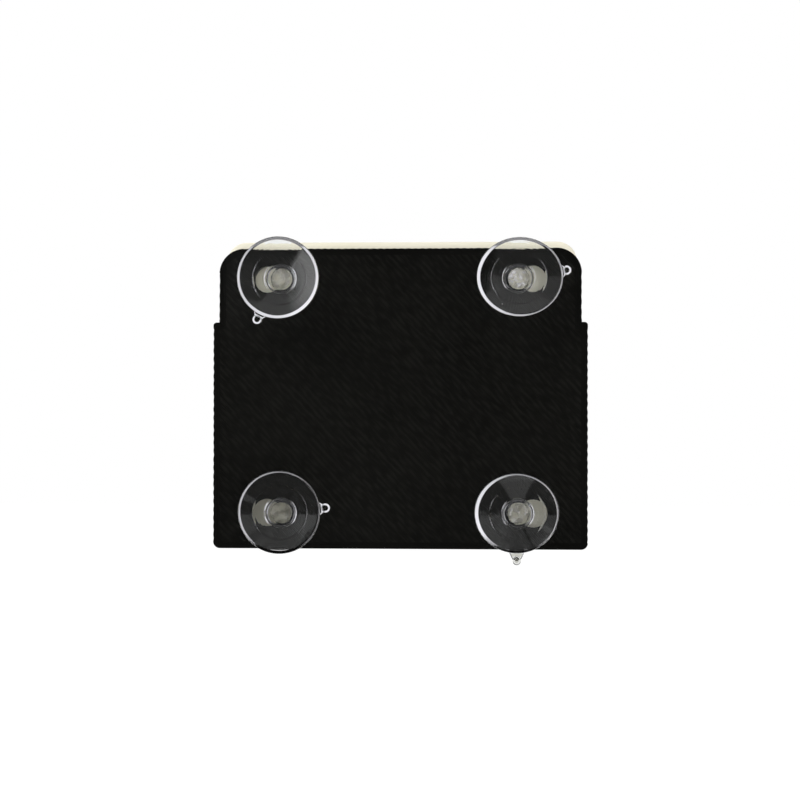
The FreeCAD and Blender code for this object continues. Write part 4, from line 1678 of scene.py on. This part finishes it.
def lay_sheet(name: str, low: Place, high: Place, material: bpy.types.Material) -> bpy.types.Object:
    """Adds a flat rectangle of the studio.

    Args:
        name: its name.
        low: one corner.
        high: the opposite corner, which differs from the first along two axes.
        material: its material.

    Returns:
        The sheet.
    """
    flat = next(axis for axis in range(3) if low[axis] == high[axis])
    first, second = (axis for axis in range(3) if axis != flat)
    corners = []
    for one, other in ((low, low), (high, low), (high, high), (low, high)):
        corner = Vector(low)
        corner[first], corner[second] = one[first], other[second]
        corners.append(corner)
    data = bpy.data.meshes.new(name)
    data.from_pydata(corners, [], [(0, 1, 2, 3)])
    data.materials.append(material)
    sheet = add_object(name, data)
    return sheet


@dataclass(frozen=True)
class Card:
    """A plain card that only mirror images and rays through clear plastic see."""

    name: str
    low: Place
    high: Place
    shade: float
    fill: float = 2.0
    fade: Optional[Place] = None

    def build(self) -> bpy.types.Object:
        """Sets the card up.

        Returns:
            The card.
        """
        material, graph = new_material(self.name)
        path = graph.add("ShaderNodeLightPath", {}, {}, "Diffuse Depth")
        after_matt, mirrored_in = path.below(1.0), graph.other(path, "Glossy Depth").below(1.0)
        shade: Value = self.shade
        if self.fade:
            start, end, last = self.fade
            height = graph.split(graph.place())[2]
            shade = height.step(start, end) * (last - self.shade) + self.shade
        seen = mirrored_in * (shade - 1.0) + 1.0
        strength = seen * (1.0 - after_matt) + after_matt * self.fill
        glow = graph.add("ShaderNodeEmission", {}, {"Color": strength})
        graph.add("ShaderNodeOutputMaterial", {}, {"Surface": glow}, None)
        material.cycles.emission_sampling = "NONE"
        card = lay_sheet(self.name, self.low, self.high, material)
        card.visible_camera = False
        card.visible_diffuse = False
        card.visible_shadow = False
        return card


def keyhole_card(side: int, row: int, fill: float) -> Card:
    """A card before a keyhole's wide end, which sets how much light falls into it.

    Args:
        side: -1 on the left and 1 on the right.
        row: -1 below and 1 above.
        fill: how bright the inside of the keyhole sees it.

    Returns:
        The card.
    """
    near = (side * 30.0 * MM, -7.0 * MM, row * 21.3 * MM)
    far = (side * 44.0 * MM, -7.0 * MM, row * 37.3 * MM)
    return Card(f"keyhole_{side}_{row}", near, far, 0.03, fill)


@dataclass
class Studio:
    """The floor, the white surround, the lamps, the cards and the camera."""

    floor_height: float = -0.16
    floor_reach: float = 3.0
    floor_colour: Colour = (0.86, 0.86, 0.86)
    floor_white: float = 0.7
    floor_glow: float = 1.35
    surround: float = 0.3
    distance: float = 0.5
    azimuth: float = 3.33
    elevation: float = -0.48
    roll: float = 0.06
    lens: float = 89.85
    target: Place = (0.0001, 0.007, -0.001)
    lamps: tuple[Lamp, ...] = (
        Lamp("key_lamp", (-0.5, -0.25, 0.65), 0.5, 6.2),
        Lamp("front_lamp", (0.2, -0.8, 0.1), 0.5, 1.8),
        Lamp("side_lamp", (0.75, -0.25, 0.1), 0.5, 3.0),
        Lamp("back_lamp", (0.1, 0.75, 0.5), 0.6, 3.4),
    )
    cards: tuple[Card, ...] = (
        Card("dark_behind_camera", (-1.1, -1.0, -1.1), (1.1, -1.0, 0.9), 0.03),
        Card("dark_below", (-0.12, -1.0, -0.12), (0.9, 0.05, -0.12), 0.1),
        Card("dark_far_right", (0.9, -1.0, -0.12), (0.9, 0.05, 0.0), 0.15),
        Card("grey_far_right", (0.9, -1.0, 0.0), (0.9, 0.05, 0.9), 0.4),
        Card("grey_above", (-1.5, -1.0, 0.9), (0.9, 0.5, 0.9), 0.45),
        Card("dark_left", (-0.089, -0.09, -0.12), (-0.089, 0.03, -0.029), 0.1, 0.4),
        Card("grey_left", (-0.089, -0.09, -0.029), (-0.089, 0.03, 0.02), 0.55, 0.4),
        Card("dark_before_right", (0.012, -0.016, 0.005), (0.012, 0.002, 0.031), 0.1, 1.5),
        Card("light_by_top_left", (-0.045, -0.014, 0.018), (-0.045, 0.002, 0.066), 1.5, 3.0,
             (0.034, 0.064, 0.45)),
        Card("grey_before_right", (0.012, -0.016, 0.031), (0.012, 0.002, 0.05), 0.3, 1.5),
        keyhole_card(-1, 1, 4.2),
        keyhole_card(1, 1, 4.0),
        keyhole_card(-1, -1, 0.45),
        Card("dark_between", (-0.012, -0.016, 0.02), (-0.012, 0.0, 0.061), 0.15),
        Card("light_below", (0.016, -0.016, -0.062), (0.044, -0.004, -0.062), 0.6),
    )

    def white_rays(self, graph: Graph) -> Socket:
        """Picks the rays that see the background: straight, mirrored and through clear plastic.

        Args:
            graph: the material's or the world's nodes.

        Returns:
            1 on those rays and 0 on the others.
        """
        path = graph.add("ShaderNodeLightPath", {}, {}, "Is Camera Ray")
        glossy = graph.other(path, "Is Glossy Ray")
        through = graph.other(path, "Is Transmission Ray")
        return path.above(glossy).above(through)

    def build_floor(self) -> bpy.types.Object:
        """Lays the pale floor, which keeps the object's shadow.

        Returns:
            The floor.
        """
        material, graph = new_material("floor_white")
        share = self.white_rays(graph) * self.floor_white
        matt = graph.add("ShaderNodeBsdfDiffuse", {}, {"Color": self.floor_colour})
        white = {"Color": (1.0, 1.0, 1.0), "Strength": self.floor_glow}
        glow = graph.add("ShaderNodeEmission", {}, white)
        mixed = graph.add("ShaderNodeMixShader", {}, {0: share, 1: matt, 2: glow})
        graph.add("ShaderNodeOutputMaterial", {}, {"Surface": mixed}, None)
        reach, height = self.floor_reach, self.floor_height
        return lay_sheet("floor", (-reach, -reach, height), (reach, reach, height), material)

    def build_world(self) -> None:
        """Makes the surround white where it is seen and softer where it lights."""
        world = bpy.data.worlds.new("surround")
        world.use_nodes = True
        graph = Graph(world.node_tree)
        strength = self.white_rays(graph) * (1.0 - self.surround) + self.surround
        white = {"Color": (1.0, 1.0, 1.0), "Strength": strength}
        light = graph.add("ShaderNodeBackground", {}, white)
        graph.add("ShaderNodeOutputWorld", {}, {"Surface": light}, None)
        bpy.context.scene.world = world

    def build_camera(self) -> bpy.types.Object:
        """Sets the camera where the photograph was taken from.

        Returns:
            The camera's object.
        """
        a, e, r = (math.radians(angle) for angle in (self.azimuth, self.elevation, self.roll))
        back = Vector((math.sin(a) * math.cos(e), -math.cos(a) * math.cos(e), math.sin(e)))
        level = Vector((math.cos(a), math.sin(a), 0.0))
        above = back.cross(level)
        right = level * math.cos(r) + above * math.sin(r)
        up = above * math.cos(r) - level * math.sin(r)
        data = bpy.data.cameras.new("camera")
        data.lens = self.lens
        data.sensor_width = 36.0
        data.clip_start = 0.01
        data.clip_end = 20.0
        camera = add_object("camera", data)
        turned = Matrix((right, up, back)).transposed().to_4x4()
        camera.matrix_world = Matrix.Translation(Vector(self.target) + back * self.distance) @ turned
        bpy.context.scene.camera = camera
        return camera

    def build(self) -> None:
        """Sets up the whole studio."""
        self.build_camera()
        self.build_world()
        self.build_floor()
        for thing in (*self.lamps, *self.cards):
            thing.build()
        bpy.context.scene.view_settings.view_transform = "Standard"


def main() -> None:
    """Builds and dresses every piece, then the studio."""
    logging.basicConfig(level=logging.INFO, format="%(name)s: %(message)s")
    pieces = [PrintedHolder().build()]
    pieces += [cup.build() for cup in suction_cups()]
    pieces += Tag().dress()
    for piece in pieces:
        log.info("%s: %d faces", piece.name, len(piece.data.polygons))
    Studio().build()


if __name__ == "__main__":
    main()
